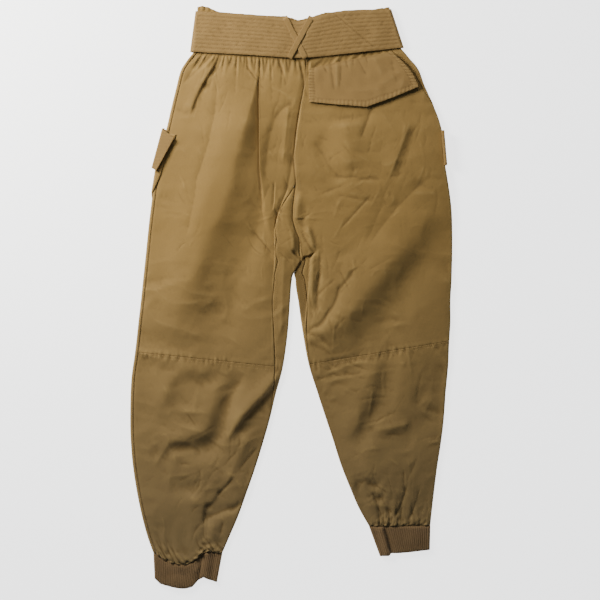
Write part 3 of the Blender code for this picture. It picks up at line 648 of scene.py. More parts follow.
def pressed(x, y):
    """1 inside the pressed strip, 0 outside it, with a steep edge."""
    corners = np.array(PRESSED, float)
    inside, nearest = np.zeros(np.shape(x), bool), np.full(np.shape(x), 1e9)
    for (x0, y0), (x1, y1) in zip(corners, np.roll(corners, -1, axis=0)):
        inside ^= ((y0 > y) != (y1 > y)) & (x < x0 + (x1 - x0) * (y - y0) / (y1 - y0 + 1e-9))
        a = np.clip(((x - x0) * (x1 - x0) + (y - y0) * (y1 - y0)) / ((x1 - x0) ** 2 + (y1 - y0) ** 2), 0, 1)
        nearest = np.minimum(nearest, np.hypot(x - x0 - a * (x1 - x0), y - y0 - a * (y1 - y0)))
    return smoothstep(np.where(inside, nearest, -nearest), -0.8, 1.2) * smoothstep(y, -60, -20)


def crumple(x, y):
    """Crisp shallow wrinkles: creases where a smooth field crosses zero, in patches."""
    wx, wy = x + 9 * waves(x, y, 60, 41), y + 9 * waves(x, y, 60, 42)
    z = np.zeros(np.shape(x))
    for k, (size, height, angle, stretch) in enumerate(((62, 1.35, -0.6, 0.55), (34, 0.75, 0.5, 0.6), (19, 0.34, -0.3, 0.6))):
        u, w = wx * math.cos(angle) + wy * math.sin(angle), -wx * math.sin(angle) + wy * math.cos(angle)
        field = waves(u * stretch, w, size, 50 + k, 10)
        patch = smoothstep(waves(x, y, 75, 60 + k), -0.5, 0.9)
        z += height * patch * (0.45 - np.sqrt(field**2 + 0.004))
    low = 1 - smoothstep(y, -60, 140)
    calm = np.exp(-(((x + 196) / 15) ** 2) - ((y + 282) / 48) ** 2)
    calm = calm + 0.75 * np.exp(-(((x + 108) / 40) ** 2) - ((y + 345) / 50) ** 2)
    return z * (0.45 + 0.55 * low) * (1 - 0.85 * calm)


def relief(x, y):
    """How far the top layer stands above its plain form, over points of the plane."""
    z = creases(x, y)
    add_bands(z, x, y)
    add_folds(z, x, y, FOLDS)
    add_folds(z, x, y, CREASE_ROWS)
    z += crumple(x, y) + 0.30 * waves(x, y, 64, 1) + 0.04 * waves(x, y, 9, 3, 24) + 0.02 * waves(x, y, 4.2, 4, 30)
    z *= 1 - 0.75 * flap_cover(x, y)
    add_folds(z, x, y, GATHER_ROWS)
    below = belt_bottom(x) - y
    z -= 2.0 * bell(below, 4.5)
    return np.where(z < 0, z * smoothstep(below, -9, 0), z * smoothstep(below, 0.5, 6))


def under_relief(x, y):
    """Shallow hollows of the bottom layer, which otherwise lies on the floor."""
    return 0.55 * np.clip(waves(x, y, 48, 21) - 0.35, 0, 2) + 0.22 * np.clip(waves(x + 0.5 * y, y, 19, 22, 20, 0.3) - 0.5, 0, 2)


# ---------------------------------------------------------------- heights and sections
def lap_raise(x):
    return (BELT_CLOTH + SEAM) * plateau(x, LAP_LEFT - 4, LAP_RIGHT + 26, LAP_RAMP)


def lift_of_layers(v, x, across):
    belt = (BELT_CLOTH + SEAM + lap_raise(x)) * (1 - smoothstep(v, 1.05, 2.7))
    near = 1 - smoothstep(across, 160, 205)
    patch = LAYER * plateau(v, 6.0, 9.3, 1.0) * near
    flap = LAYER * plateau(v, 5.9, 8.0, 1.3) * near
    return belt + patch + flap


# The hem of the left leg and its cuff don't lie straight: x, and how far the seam and the cuff's foot move.
SETTLE = (
    (-236, 0, 5),
    (-229, 0, 5),
    (-220, -6, -3),
    (-212, -12, -4),
    (-195, -18, -3),
    (-178, -20, -2),
    (-166, -15, 0),
    (-157, -8, 8),
    (-147, 0, 11),
    (-137, 4, 4),
    (-126, 1, -1),
    (-112, 0, -1),
)


def settle(points):
    """Moves the left leg's hem and cuff along Y."""
    rows = np.array(SETTLE, float)
    x, y = points[..., 0], points[..., 1]
    seam, foot = np.interp(x, rows[:, 0], rows[:, 1]), np.interp(x, rows[:, 0], rows[:, 2])
    down = smoothstep(-y, 385, 431)
    cuff_part = smoothstep(-y, 431, 480)
    move = np.where(x < -60, down * (seam * (1 - cuff_part) + foot * cuff_part), 0)
    moved = points.copy()
    moved[..., 1] += move
    return moved


# Where the two legs meet below the centre seam: y, x of the left leg's edge and of the right one's.
CROTCH_LINE = (
    (26, 1.4, 8.4),
    (34, 1.6, 6.6),
    (40, 4.0, 5.0),
    (48, 8.9, 9.2),
    (56, 13.9, 14.2),
    (61, 16.4, 16.7),
    (66, 16.0, 16.3),
    (72, 14.4, 14.7),
    (80, 14.1, 14.4),
    (92, 14.5, 14.8),
    (99, 13.0, 13.3),
    (107, 9.8, 10.1),
    (116, 6.6, 6.9),
    (130, 2.6, 2.9),
    (150, 2.85, 3.15),
    (190, 7.85, 8.15),
    (228, 4.85, 5.15),
)


def close_crotch(inner, side):
    """The inner edge of a leg, moved so that the legs touch above the gap between them."""
    rows = np.array(CROTCH_LINE, float)
    x, y = inner[..., 0], inner[..., 1]
    share = smoothstep(y, 24, 34)
    moved = inner.copy()
    moved[..., 0] = x + share * (np.interp(y, rows[:, 0], rows[:, 1 if side < 0 else 2]) - x)
    return moved


class Leg:
    """parted is 0 for the section that ends at the centre seam and 1 for the tube of a leg."""

    def __init__(self, side):
        self.side = side
        self.table = LEFT_LEG if side < 0 else RIGHT_LEG
        self.plain = False  # True leaves out the fine relief

    def facts(self, v, parted):
        row = at_station(self.table, v)
        outer, inner = row[..., 0:2], row[..., 2:4]
        if not parted:
            inner = at_station(CENTRE, v) + np.array([self.side * SEAM / 2, 0])
        else:
            inner = close_crotch(inner, self.side)
        width = np.linalg.norm(inner - outer, axis=-1)
        return outer, (inner - outer) / width[..., None], width, row[..., 4], row[..., 5]

    def wraps(self, v):
        row = at_station(self.table, v)
        return row[..., 6], np.maximum(row[..., 7], 0)

    def length(self, v, parted):
        _, _, width, r, _ = self.facts(v, parted)
        return math.pi * r / 2 * (1 + parted) + width - r * (1 + parted)

    def low_z(self, v, x, y, across):
        still = smoothstep(v, 3.6, 4.6)
        return CLOTH / 2 + lift_of_layers(v, x, across) + (0 if self.plain else still * under_relief(x, y))

    def knee_relief(self, v, across):
        """The knee seam: its allowances lift the part above it, and its stitches pucker the cloth."""
        t = (np.asarray(v, float) - KNEE) * 45.0
        along = across + 4 * np.sin(across / 19 + self.side)
        pucker = 0.20 * np.sin(along * math.tau / 9.5 + 2.6 * np.sin(along / 23)) + 0.42 * waves(across, t * 0.5, 5.0, 81, 18)
        patch = smoothstep(np.sin(across / 17 + self.side) + np.sin(across / 39), -0.9, 0.9)
        return pucker * (0.3 + 0.7 * patch) * bell(t - 3.5, 7.5, 1.7) + 0.24 * plateau(-t, -0.2, 5.5, 3.0)

    def top_z(self, v, x, y, across, width, r, loft, parted):
        if parted:
            hump = np.sin(math.pi * np.clip((across - r) / (width - 2 * r), 0, 1)) ** 0.7
            free = smoothstep(across, -7, 12) * smoothstep(width - across, -7, 12)
        else:
            hump = np.sin(math.pi / 2 * np.clip(across / (0.4 * width), 0, 1)) ** 0.8
            free = smoothstep(across, -7, 12)
        body = 2 * r + loft * hump
        if not self.plain:
            body = body + free * relief(x, y) + self.knee_relief(v, across)
            body = body + cuff_gathers(v, LEFT_CUFF if self.side < 0 else RIGHT_CUFF, across, self.side) * free
            body = body - (body - 1.4) * pressed(x, y) * (self.side > 0)
        least = 1.35
        body = least + np.logaddexp(0, (body - least) / 0.5) * 0.5
        top = self.low_z(v, x, y, across) + body
        return top if self.plain else MOST_Z - np.logaddexp(0, (MOST_Z - top) / 0.8) * 0.8

    def point(self, v, s, parted, out=0.0):
        """Points at stations v and distances s, moved out by out."""
        v, s = np.broadcast_arrays(np.asarray(v, float), np.asarray(s, float))
        outer, along, width, r, loft = self.facts(v, parted)
        quarter, total = math.pi * r / 2, self.length(v, parted)
        d = np.abs(s)
        past = (d > total) & (parted > 0)
        top = (s >= 0) ^ past
        d = np.where(past, 2 * total - d, d)
        first, last = d < quarter, (d > total - quarter) & (parted > 0)
        a0, a1 = d / r, (total - d) / r
        across = np.where(first, r - (r + out) * np.cos(a0), r + d - quarter)
        across = np.where(last, width - r + (r + out) * np.cos(a1), across)
        middle = np.clip(across, r, width - r * parted)
        x = outer[..., 0] + along[..., 0] * across
        y = outer[..., 1] + along[..., 1] * across
        low = self.low_z(v, x, y, middle)
        high = self.top_z(v, x, y, middle, width, r, loft, parted)
        rise = np.where(first, np.sin(np.clip(a0, 0, math.pi / 2)), 1.0)
        rise = np.where(last, np.sin(np.clip(a1, 0, math.pi / 2)), rise)
        z = (low + high) / 2 + np.where(top, 1.0, -1.0) * ((high - low) / 2 + out) * rise
        return np.stack([x, y, z], -1)

    def strip(self, v, columns):
        """A strip of the section, blended across the crotch. columns(parted, v) gives its distances."""
        rows = []
        for chunk in np.array_split(v, max(1, len(v) // 60)):
            g = smoothstep(chunk, HIP_END, LEG_START)[:, None, None]
            at = chunk[:, None]
            whole = parted = 0
            if g.min() < 1:
                s, out = columns(0, chunk)
                whole = self.point(at, s, 0, out)
            if g.max() > 0:
                s, out = columns(1, chunk)
                parted = self.point(at, s, 1, out)
            rows.append((1 - g) * whole + g * parted)
        return settle(np.concatenate(rows))

    def z_at(self, x, y):
        """Height of the top layer's middle over points of the plane above the crotch."""
        x, y = np.asarray(x, float), np.asarray(y, float)
        lo, hi = np.zeros(x.shape), np.full(x.shape, 11.0)
        for _ in range(30):
            mid = (lo + hi) / 2
            outer, along, *_ = self.facts(mid, 0)
            over = ((x - outer[..., 0]) * along[..., 1] - (y - outer[..., 1]) * along[..., 0]) * -self.side
            below = over < 0
            lo, hi = np.where(below, mid, lo), np.where(below, hi, mid)
        outer, along, width, r, loft = self.facts(lo, 0)
        across = (x - outer[..., 0]) * along[..., 0] + (y - outer[..., 1]) * along[..., 1]
        return self.top_z(lo, x, y, np.clip(across, r, width), width, r, loft, 0)


def seam_width(v):
    return SEAM + 0 * np.asarray(v, float)


left, right = Leg(-1), Leg(+1)
# ==== core ends


# ---------------------------------------------------------------- mesh making
def shell(name, node, points, thickness, finish, ring=False, wear_and_shade=None):
    """A grid of points (rows, columns, 3), in millimetres, as a thin shell of cloth."""
    rows, columns = points.shape[:2]
    r, c = np.meshgrid(np.arange(rows - 1), np.arange(columns if ring else columns - 1), indexing="ij")
    n = (c + 1) % columns
    quads = np.stack([r * columns + c, r * columns + n, (r + 1) * columns + n, (r + 1) * columns + c], -1).reshape(-1, 4)
    name = name + "_cloth"
    mesh = mesh_of(name, points.reshape(-1, 3), quads)
    if wear_and_shade is not None:
        mesh.attributes.new("wear_and_shade", "FLOAT", "POINT").data.foreach_set("value", np.clip(wear_and_shade, 0, 1).astype(np.float32).ravel())
    obj = bpy.data.objects.new(name, mesh)
    bpy.context.scene.collection.objects.link(obj)
    mesh.materials.append(finish)
    solid = obj.modifiers.new("Solidify", "SOLIDIFY")
    solid.thickness = thickness * MM
    solid.offset = 0.0
    solid.use_even_offset = False
    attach(obj, "root")
    if node:
        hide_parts(node)
    return obj


def mesh_of(name, points, quads):
    mesh = bpy.data.meshes.new(name)
    quads = np.asarray(quads, np.int32)
    mesh.vertices.add(len(points))
    mesh.vertices.foreach_set("co", (np.asarray(points, float) * MM).astype(np.float32).ravel())
    mesh.loops.add(quads.size)
    mesh.loops.foreach_set("vertex_index", quads.ravel())
    mesh.polygons.add(len(quads))
    mesh.polygons.foreach_set("loop_start", np.arange(0, quads.size, 4, dtype=np.int32))
    mesh.polygons.foreach_set("use_smooth", np.ones(len(quads), bool))
    mesh.update(calc_edges=True)
    mesh.validate()
    return mesh


def hills(points, reach):
    """How far each point of a grid stands above its neighbours reach steps away, for the wear on ridges and the painted
    shade in hollows.
    """
    z = points[..., 2]
    pad = np.pad(z, reach, mode="edge")
    rows, columns = z.shape
    near = sum(
        pad[reach + dr * reach : reach + dr * reach + rows, reach + dc * reach : reach + dc * reach + columns]
        for dr, dc in ((-1, 0), (1, 0), (0, -1), (0, 1))
    )
    return z - near / 4


def edge_columns(start, end, near, count, line=None):
    """Distances from start to end (arrays over rows): fine near both ends, then count steps. They also close
    up along line, the place of a crease as a share of the way."""
    fine = np.array(near, float)
    way = np.sign(np.mean(end - start))
    first = start[:, None] + way * fine[None, :]
    last = end[:, None] - way * fine[None, ::-1]
    a, b = first[:, -1:], last[:, :1]
    if line is None:
        share = (np.arange(count) + 1) / (count + 1)
        return np.concatenate([first, a + (b - a) * share, last], 1)
    at = (start + (end - start) * line)[:, None]
    close = np.array([-5.2, -3.8, -2.6, -1.7, -1.05, -0.6, -0.2, 0.2, 0.6, 1.05, 1.7, 2.6, 3.8, 5.2])
    before = int(count * 0.72)
    after = count - before
    left_part = a + (at + close[0] - a) * (np.arange(before) + 1) / (before + 1)
    right_part = at + close[-1] + (b - at - close[-1]) * (np.arange(after) + 1) / (after + 1)
    return np.concatenate([first, left_part, at + close, right_part, last], 1)


def crease_share(leg, v, parted, start, end, name):
    """Where a crease crosses each row, as a share of the way from start to end."""
    rows = np.array(CREASES[name][::-1], float)
    outer, along, width, r, _ = leg.facts(v, parted)
    across = 0.7 * width
    for _ in range(10):
        y = outer[:, 1] + along[:, 1] * across
        across = (np.interp(y, rows[:, 1], rows[:, 0]) - outer[:, 0]) / along[:, 0]
    share = (across - r + math.pi * r / 2 - start) / (end - start)
    low = smoothstep(y, 40, 110)
    return share * low + 0.86 * (1 - low)


FINE_EDGE = (0, 0.45, 0.95, 1.6, 2.5, 3.8)


def station_rows(a, b, step, leg, fine_at=(), dense=None):
    """Stations from a to b about step millimetres apart, with closer ones near the seams in fine_at."""
    knots = np.linspace(a, b, 400)
    outer, _, _, _, _ = leg.facts(knots, 0)
    inner = at_station(leg.table, knots)[..., 2:4]
    middle = (outer + inner) / 2
    run = np.concatenate([[0], np.cumsum(np.linalg.norm(np.diff(middle, axis=0), axis=1))])
    rows = list(np.interp(np.linspace(0, run[-1], int(run[-1] / step) + 1), run, knots))
    if dense:
        rows += list((np.array(rows[1:]) + np.array(rows[:-1])) / 2)
        rows = [v for k, v in enumerate(rows) if k < int(run[-1] / step) + 1 or dense[0] < v < dense[1]]
    for seam, side in fine_at:
        at = float(np.interp(seam, knots, run))
        rows += [float(np.interp(at + side * d, run, knots)) for d in FINE_EDGE]
    rows = np.array(sorted(set(round(v, 5) for v in rows)))
    keep = np.concatenate([[True], np.diff(rows) > 0.004])
    return rows[keep]


ROLL = 1.0  # how far a sewn edge turns down into its seam


def back_panel(name, leg, v, finish, step=2.0, crease=None):
    widest = max(leg.length(v, 0).max() if v[0] < 5 else 0, (leg.length(v, 1) - sum(leg.wraps(v))).max() if v[0] > 5 else 0)
    count = int(widest / step)

    def columns(parted, at):
        out, into = leg.wraps(at)
        start = out + SEAM / 2
        end = leg.length(at, parted) - parted * (into + seam_width(at) / 2)
        line = crease_share(leg, at, parted, start, end, crease) if crease else None
        s = edge_columns(start, end, FINE_EDGE, count, line)
        away = np.minimum(s - start[:, None], np.abs(at - KNEE)[:, None] * 45 + 0.75)
        inner = end[:, None] - s
        deep = ((ROLL + 0.55 * parted) * (1 - parted * (1 - smoothstep(into, 3, 9))))[:, None]
        return s, -np.maximum(ROLL * bell(away, 0.9, 1.5), deep * bell(inner, 1.0, 1.5))

    points = leg.strip(v, columns)
    # Paler wear on ridges; hollows get low values, which the cloth's material paints as shade.
    wear_and_shade = 0.5 + 0.5 * np.clip(hills(points, 2) / 0.35, -1, 1)
    run = np.concatenate([np.zeros((len(v), 1)), np.cumsum(np.linalg.norm(np.diff(points, axis=1), axis=-1), axis=1)], 1)
    # Painted shade along both sewn edges of the panel.
    wear_and_shade -= 0.5 * bell(np.minimum(run, run[:, -1:] - run), 2.0, 3)
    # Painted shade along the knee seam.
    wear_and_shade -= 0.4 * bell((v - KNEE) * 45.0, 1.3)[:, None]
    # Painted shade along the centre seam.
    wear_and_shade -= 0.6 * bell(run[:, -1:] - run, 2.3, 3) * (1 - smoothstep(v, 7.0, 9.0))[:, None]
    # Painted shadow under the belt's lower edge.
    wear_and_shade -= 0.6 * bell(belt_bottom(points[..., 0]) - points[..., 1], 3.0)
    if crease:
        rows = np.array(CREASES[crease][::-1], float)
        t = points[..., 0] - np.interp(points[..., 1], rows[:, 1], rows[:, 0])
        # Painted shade in the long pleat's crease.
        wear_and_shade -= 1.3 * (t > -6) * bell(np.maximum(t + 1, 0), 3.1, 4) * plateau(points[..., 1], 190, 364, 14)
        points = fold_over(points)
    return shell(name, name, points, SHELL, finish, wear_and_shade=wear_and_shade)


def front_panel(name, leg, v, finish):
    def columns(parted, at):
        out, into = leg.wraps(at)
        total = leg.length(at, parted)
        start = out - SEAM / 2
        end = parted * (into - seam_width(at) / 2)
        edge_a = np.stack([start - d for d in (0, 0.45, 0.95, 1.6, 2.5, 3.6)], 1)
        turn_a = edge_a[:, -1:] + (-20 - edge_a[:, -1:]) * (np.arange(1, 17) / 16)
        edge_b = np.stack([end - d for d in (0, 0.45, 0.95, 1.6, 2.5, 3.6)], 1)
        turn_b = edge_b[:, -1:] + (-22 - edge_b[:, -1:]) * (np.arange(1, 33) / 32)
        far = -(total[:, None] + turn_b[:, ::-1])
        share = np.arange(1, 25) / 25
        middle = turn_a[:, -1:] + (far[:, :1] - turn_a[:, -1:]) * share
        s = np.concatenate([edge_a, turn_a, middle, far, -(total[:, None] + edge_b[:, ::-1])], 1)
        away, inner = start[:, None] - s, s + total[:, None] + end[:, None]
        deep = ((ROLL + 0.55 * parted) * (1 - parted * (1 - smoothstep(into, 3, 9))))[:, None]
        return s, -np.maximum(ROLL * bell(away, 0.9, 1.5), deep * bell(inner, 1.0, 1.5))

    points = leg.strip(v, columns)
    run = np.concatenate([np.zeros((len(v), 1)), np.cumsum(np.linalg.norm(np.diff(points, axis=1), axis=-1), axis=1)], 1)
    # Paler wear on ridges; painted shade in hollows and along the sewn edges.
    wear_and_shade = 0.5 + 0.5 * np.clip(hills(points, 2) / 0.35, -1, 1) - 0.45 * bell(np.minimum(run, run[:, -1:] - run), 1.2)
    # Painted shade on the right leg's pressed strip, which lies under the lip at the crotch.
    wear_and_shade -= 0.5 * pressed(points[..., 0], points[..., 1]) * (leg.side > 0)
    return shell(name, name, points, SHELL, finish, wear_and_shade=wear_and_shade)


# ---------------------------------------------------------------- waist
def waist_line(share, low):
    """Points of the belt at shares 0 to 1; low is 0 on its top line and 1 on its bottom one."""
    at = np.linspace(0, 1, 121)
    x0, y0, x1, y1 = (np.interp(share, at, WAIST_FINE[:, k]) for k in range(4))
    return x0 * (1 - low) + x1 * low, y0 * (1 - low) + y1 * low


def panel_top_line(share):
    ends = (LEFT_LEG[0], CENTRE[0], RIGHT_LEG[0])
    return tuple(np.interp(share, (0, 0.52, 1), [end[k] for end in ends]) for k in (0, 1))


def waist_low_z(x):
    return BELT_CLOTH + SEAM + CLOTH / 2 + lap_raise(x)


def arc(x, inward, centre, r, steps, down, skip=True):
    way = -1 if down else 1
    a = way * (-math.pi / 2 + math.pi * np.arange(steps + 1) / steps)
    if skip:
        a = a[1:-1]
    return x + inward * r * (1 - np.cos(a)), centre + r * np.sin(a)


# how far the frill shows above the belt: x, height, waviness
FRILL = (
    (-162, 7.0, 0.1),
    (-152, 9.4, 0.1),
    (-142, 7.8, 0.3),
    (-133, 4.2, 0.5),
    (-124, 1.5, 0.6),
    (-100, 0.6, 0.4),
    (-40, 0.8, 0.5),
    (-24, 2.4, 0.8),
    (-8, 3.0, 1.0),
    (12, 3.0, 0.6),
    (30, 1.6, 0.8),
    (44, 2.8, 1.0),
    (60, 2.6, 1.0),
    (74, 0.9, 0.5),
    (140, 0.7, 0.4),
    (154, 2.4, 0.8),
    (166, 3.6, 0.8),
)


def waistband(finish):
    """The casing that the belt is sewn round, with the paperbag frill as its upper edge."""
    frill = np.array(FRILL, float)
    shares = np.linspace(0.012, 0.988, 230)
    back = np.linspace(0.988, 0.012, 90)
    rows = []
    for w in np.linspace(0, 1, 30):
        ends = []
        for share in (0.0, 1.0):
            x0, y0 = panel_top_line(share)
            xt, yt = waist_line(share, 0.0)
            ends.append((float(x0 * (1 - w) + (xt + 3 * (1 - 2 * share)) * w), float(y0 * (1 - w) + yt * w)))

        def line(share):
            x0, y0 = panel_top_line(share)
            x1, y1 = waist_line(share, 0.0)
            tall = np.interp(x1, frill[:, 0], frill[:, 1])
            wavy = np.interp(x1, frill[:, 0], frill[:, 2])
            y1 = y1 + tall + wavy * (0.42 * np.sin(x1 * 0.27 + 2 * np.sin(x1 / 13)) + 0.12 * np.sin(x1 * 1.1))
            x1 = x1 + 3.0 * (1 - 2 * share)
            x, y = x0 * (1 - w) + x1 * w, (y0 + SEAM + 0.3) * (1 - w) + y1 * w
            above = y - waist_line(share, 0.0)[1]
            return x, y, above

        (lx, ly), (rx, ry) = ends
        xa, za = arc(lx, 1, waist_low_z(lx) + WAIST_R, WAIST_R, 8, False, False)
        xb, zb = arc(rx, -1, waist_low_z(rx) + WAIST_R, WAIST_R, 8, True, False)
        xs, ys, above = line(shares)
        ruffle = 1.3 * smoothstep(above, 0, 4.5) * (np.sin(xs * 0.8 + 1.5 * np.sin(xs / 9)) + 0.5 * np.sin(xs * 1.7 + 1))
        zs = waist_low_z(xs) + 2 * WAIST_R + ruffle + 1.0 * smoothstep(above, 0, 4)
        xk, yk, below = line(back)
        sag = 1.6 * smoothstep(below, 0, 4) * (0.6 + 0.4 * np.sin(xk * 0.5))
        zk = waist_low_z(xk) - sag
        lift = 9.0 * w**4 * np.linspace(0, 1, len(xa)) ** 0
        row_y = np.concatenate([np.full(len(xa), line(np.array([0.0]))[1][0]), ys, np.full(len(xb), line(np.array([1.0]))[1][0]), yk])
        rows.append(np.stack([np.concatenate([xa, xs, xb, xk]), row_y, np.concatenate([za, zs, zb, zk])], -1))
    return shell("waistband", "waistband", np.array(rows), SHELL, finish, ring=True, wear_and_shade=np.full((30, rows[0].shape[0]), 0.55))


BELT_STITCH_ROWS = 10
BELT_THICK = 1.6


def belt_sag(x, low):
    """The belt isn't quite flat: it swells a little between its ends and dips under the loops."""
    soft = 0.6 * waves(x, low * 67, 60, 31, 10) + 0.34 * waves(x, low * 67, 24, 32, 12)
    return soft + 0.5 * np.sin(math.pi * low) - 0.6 * bell(x - 12, 16)


def belt_puff(x, low):
    """Quilting: cloth stands up between the stitch rows and puckers along them."""
    rows = low * 67 / 6.45
    across = np.abs(np.sin(math.pi * (rows - 0.19)))
    pucker = waves(x, low * 67, 2.6, 33, 26, 1.0)
    seam = bell(np.abs((x - 71.7) * 0.661 + (low * 67 - 2) * -0.75) , 1.1)
    drawn = waves(x * 0.8 + low * 40, low * 67 - x * 0.35, 7, 34, 18)
    return 0.50 * across**0.4 + 0.05 * pucker + 0.09 * np.minimum(drawn, 0.4) - 0.36 - 0.5 * seam * (x > 60) * (x < 140)


def belt_surface(share, low):
    """The middle of the belt's top run."""
    x, y = waist_line(share, low)
    edge = np.minimum(low, 1 - low) * 67
    z = waist_low_z(x) + 2 * WAIST_R + BELT_RISE + belt_sag(x, low) + belt_puff(x, low) - 0.5 * bell(edge, 0.8)
    return x, y, z


def belt(finish):
    half = WAIST_R + BELT_RISE
    under, centre = BELT_CLOTH / 2, BELT_CLOTH / 2 + half
    lows = np.unique(np.concatenate([np.linspace(0, 1, 53), [0.006, 0.994]]))[::-1]
    rows = []
    shares = np.linspace(0.008, 0.992, 250)
    for low in lows:
        lx, ly = (float(k) for k in waist_line(0.0, low))
        rx, ry = (float(k) for k in waist_line(1.0, low))
        fx, fy = waist_line(np.linspace(0, 1, 201), low)

        def y_at(x):
            return np.interp(x, fx, fy)

        slack = 0.25 * np.sin(low * 9)
        ax = np.linspace(LAP_RIGHT, lx + half + 4, 46)
        az = under + 0.12 * np.abs(np.sin(math.pi * (low * 67 / 6.45 - 0.19)))
        xa, za = arc(lx, 1, centre, half, 12, False)
        xt, yt, zt = belt_surface(shares, low)
        blend = plateau(shares, 0.02, 0.98, 0.012)
        zt = (waist_low_z(xt) + 2 * WAIST_R + BELT_RISE) * (1 - blend) + zt * blend
        xb, zb = arc(rx, -1, centre, half, 12, True)
        cx = np.linspace(rx - half - 4, LAP_RIGHT + 44, 24)
        dx = np.linspace(LAP_RIGHT + 40, LAP_LEFT, 26)
        dz = under + 0.1 + (BELT_CLOTH + SEAM) * smoothstep(-dx, -(LAP_RIGHT + 34), -(LAP_RIGHT + 6))
        x = np.concatenate([ax, xa, xt, xb, cx, dx])
        y = np.concatenate([y_at(ax), np.full(len(xa), ly), yt, np.full(len(xb), ry), y_at(cx), y_at(dx)])
        z = np.concatenate([np.full(len(ax), az), za, zt, zb, np.full(len(cx), az), dz])
        rows.append(np.stack([x, y, z], -1))
    points = np.array(rows)
    # Paler wear on the quilting's puffs; painted shade between them.
    wear_and_shade = 0.5 + 0.5 * np.clip(hills(points, 2) / 0.22, -1, 1)
    return shell("belt", "belt", points, BELT_THICK, finish, wear_and_shade=wear_and_shade)


STRAPS = (
    ("belt_loop_under", (-11, 470), (24.2, 399.5), 0.0),
    ("belt_loop_over", (34.5, 470), (-3, 400.5), 1.0),
)


def strap_frame(top, bottom):
    (x0, y0), (x1, y1) = top, bottom
    length = math.hypot(x1 - x0, y1 - y0)
    return np.array([x0, y0]), np.array([x1 - x0, y1 - y0]), np.array([-(y1 - y0), x1 - x0]) / length


def strap_z(x, y, t, over):
    z = waist_low_z(x) + 2 * WAIST_R + BELT_RISE + BELT_CLOTH / 2 + SEAM + 0.1 + STRAP_CLOTH / 2
    z = z + 0.35 + over * (STRAP_CLOTH + SEAM) * plateau(t, 0.44, 0.78, 0.14)
    return z - 3.4 * (1 - smoothstep(t, -0.01, 0.075)) - 1.6 * smoothstep(t, 0.955, 1.01)


def belt_loop(name, top, bottom, over, finish):
    start, run, side = strap_frame(top, bottom)
    t = np.linspace(0, 1, 64)[:, None]
    k = np.array([-1, -0.96, -0.85, -0.62, -0.3, 0, 0.3, 0.62, 0.85, 0.96, 1.0])[None, ::-1]
    width = STRAP_W / 2 * (1 + 0.03 * np.sin(t * 17))
    x = start[0] + run[0] * t + side[0] * k * width
    y = start[1] + run[1] * t + side[1] * k * width
    z = strap_z(x, y, t, over) - 0.30 * np.abs(k) ** 6 - 0.12 * bell(np.abs(k) - 0.66, 0.1) + 0.06 * np.sin(t * 61) * (np.abs(k) > 0.5)
    points = np.stack([x, y, z + 0 * x], -1)
    return shell(name, name, points, 1.0, finish, wear_and_shade=0.55 + 0.35 * np.abs(k) ** 5 + 0 * x)


# ---------------------------------------------------------------- pockets
FLAP_FOLDS = (  # soft folds of the back pocket's flap
    (66, 390, 72, 348, 0, 3.5, 4.5, -0.39, 1.4),
    (83, 392, 81, 354, 1, 3, 5, -0.33, 1.4),
    (76, 392, 77, 352, 0, 4, 4, 0.39, 1.4),
    (112, 398, 126, 372, 0, 5, 5, -0.39, 1.4),
    (44, 380, 50, 340, 0, 7, 7, 0.28, 1.4),
    (140, 400, 152, 372, 0, 6, 8, 0.5, 1.4),
    (168, 396, 176, 362, 0, 6, 6, -0.33, 1.4),
    (96, 345, 150, 348, 0, 8, 8, 0.39, 1.4),
    (56, 384, 60, 376, 0, 2, 2, -0.39, 1.4),
    (92, 397, 95, 384, 0, 2.4, 2.4, -0.39, 1.4),
    (104, 399, 104, 388, 0, 2, 2, -0.28, 1.4),
    (126, 402, 128, 392, 0, 2, 2, -0.28, 1.4),
)


def flap_xy(u, w):
    """u runs 0 to 1 from the left edge to the right one, w from the sewn top edge to the free one."""
    rows = np.array(BACK_FLAP, float)
    at = (0, 0.22, 0.53, 0.76, 1.0)
    x0, y0, x1, y1 = (np.interp(u, at, rows[:, k]) for k in range(4))
    x = x0 * (1 - w) + x1 * w + 9.0 * np.sin(math.pi * w) ** 0.8 * smoothstep(u, 0.55, 1.0) * 0.9
    y = y0 * (1 - w) + y1 * w
    return x - 1.5 * (1 - u) * smoothstep(w, 0, 0.4), y


def flap_surface(u, w):
    x, y = flap_xy(u, w)
    right.plain = True
    base = right.z_at(x, y)
    right.plain = False
    tall = 62.0
    edge = np.minimum(np.minimum(u * 150, (1 - u) * 150), (1 - w) * tall)
    ripple = np.sin((y + 0.6 * np.sin(y / 3)) * 1.25)
    ripple_low = np.sin((x + 1.5 * np.sin(x / 11)) * 0.95)
    side = bell(np.minimum(u, 1 - u) * 150, 7.5, 3)
    foot = bell((1 - w) * tall, 7, 3)
    z = base + FLAP_GAP + 0.35 + (1.0 + 1.6 * smoothstep(u, 0.0, 0.5)) * w**2.2
    z = z + 0.26 * side * ripple + 0.24 * foot * ripple_low - 0.30 * bell(edge - 7.2, 1.3) + 0.07 * waves(x, y, 13, 41) + 0.30 * waves(x, y, 40, 42)
    z = z + 0.75 * crumple(x * 1.3, y * 1.3)
    z = z - 0.35 * bell(edge, 0.9) - 0.6 * bell(w * tall, 3)
    folds = np.zeros(x.shape)
    add_folds(folds, x, y, FLAP_FOLDS)
    return np.stack([x, y, z + 1.7 * folds], -1)


def even_steps(count, near):
    """Shares 0 to 1 in equal steps with closer ones at both ends."""
    near = np.array(near)
    return np.unique(np.concatenate([np.linspace(0, 1, count), near, 1 - near]))


def back_flap(finish):
    u = even_steps(108, (0.003, 0.008))[None, :]
    w = even_steps(44, (0.006, 0.015))[:, None]
    u, w = np.broadcast_arrays(u, w)
    points = flap_surface(u, w)
    # Paler wear on the flap's ridges; painted shade in its hollows.
    return shell("back_pocket_flap", "back_pocket_flap", points, 1.15, finish, wear_and_shade=0.5 + 0.5 * np.clip(hills(points, 2) / 0.2, -1, 1))


def rear_edge(rear, v):
    return np.interp(v, [r[0] for r in rear], [r[1] for r in rear])


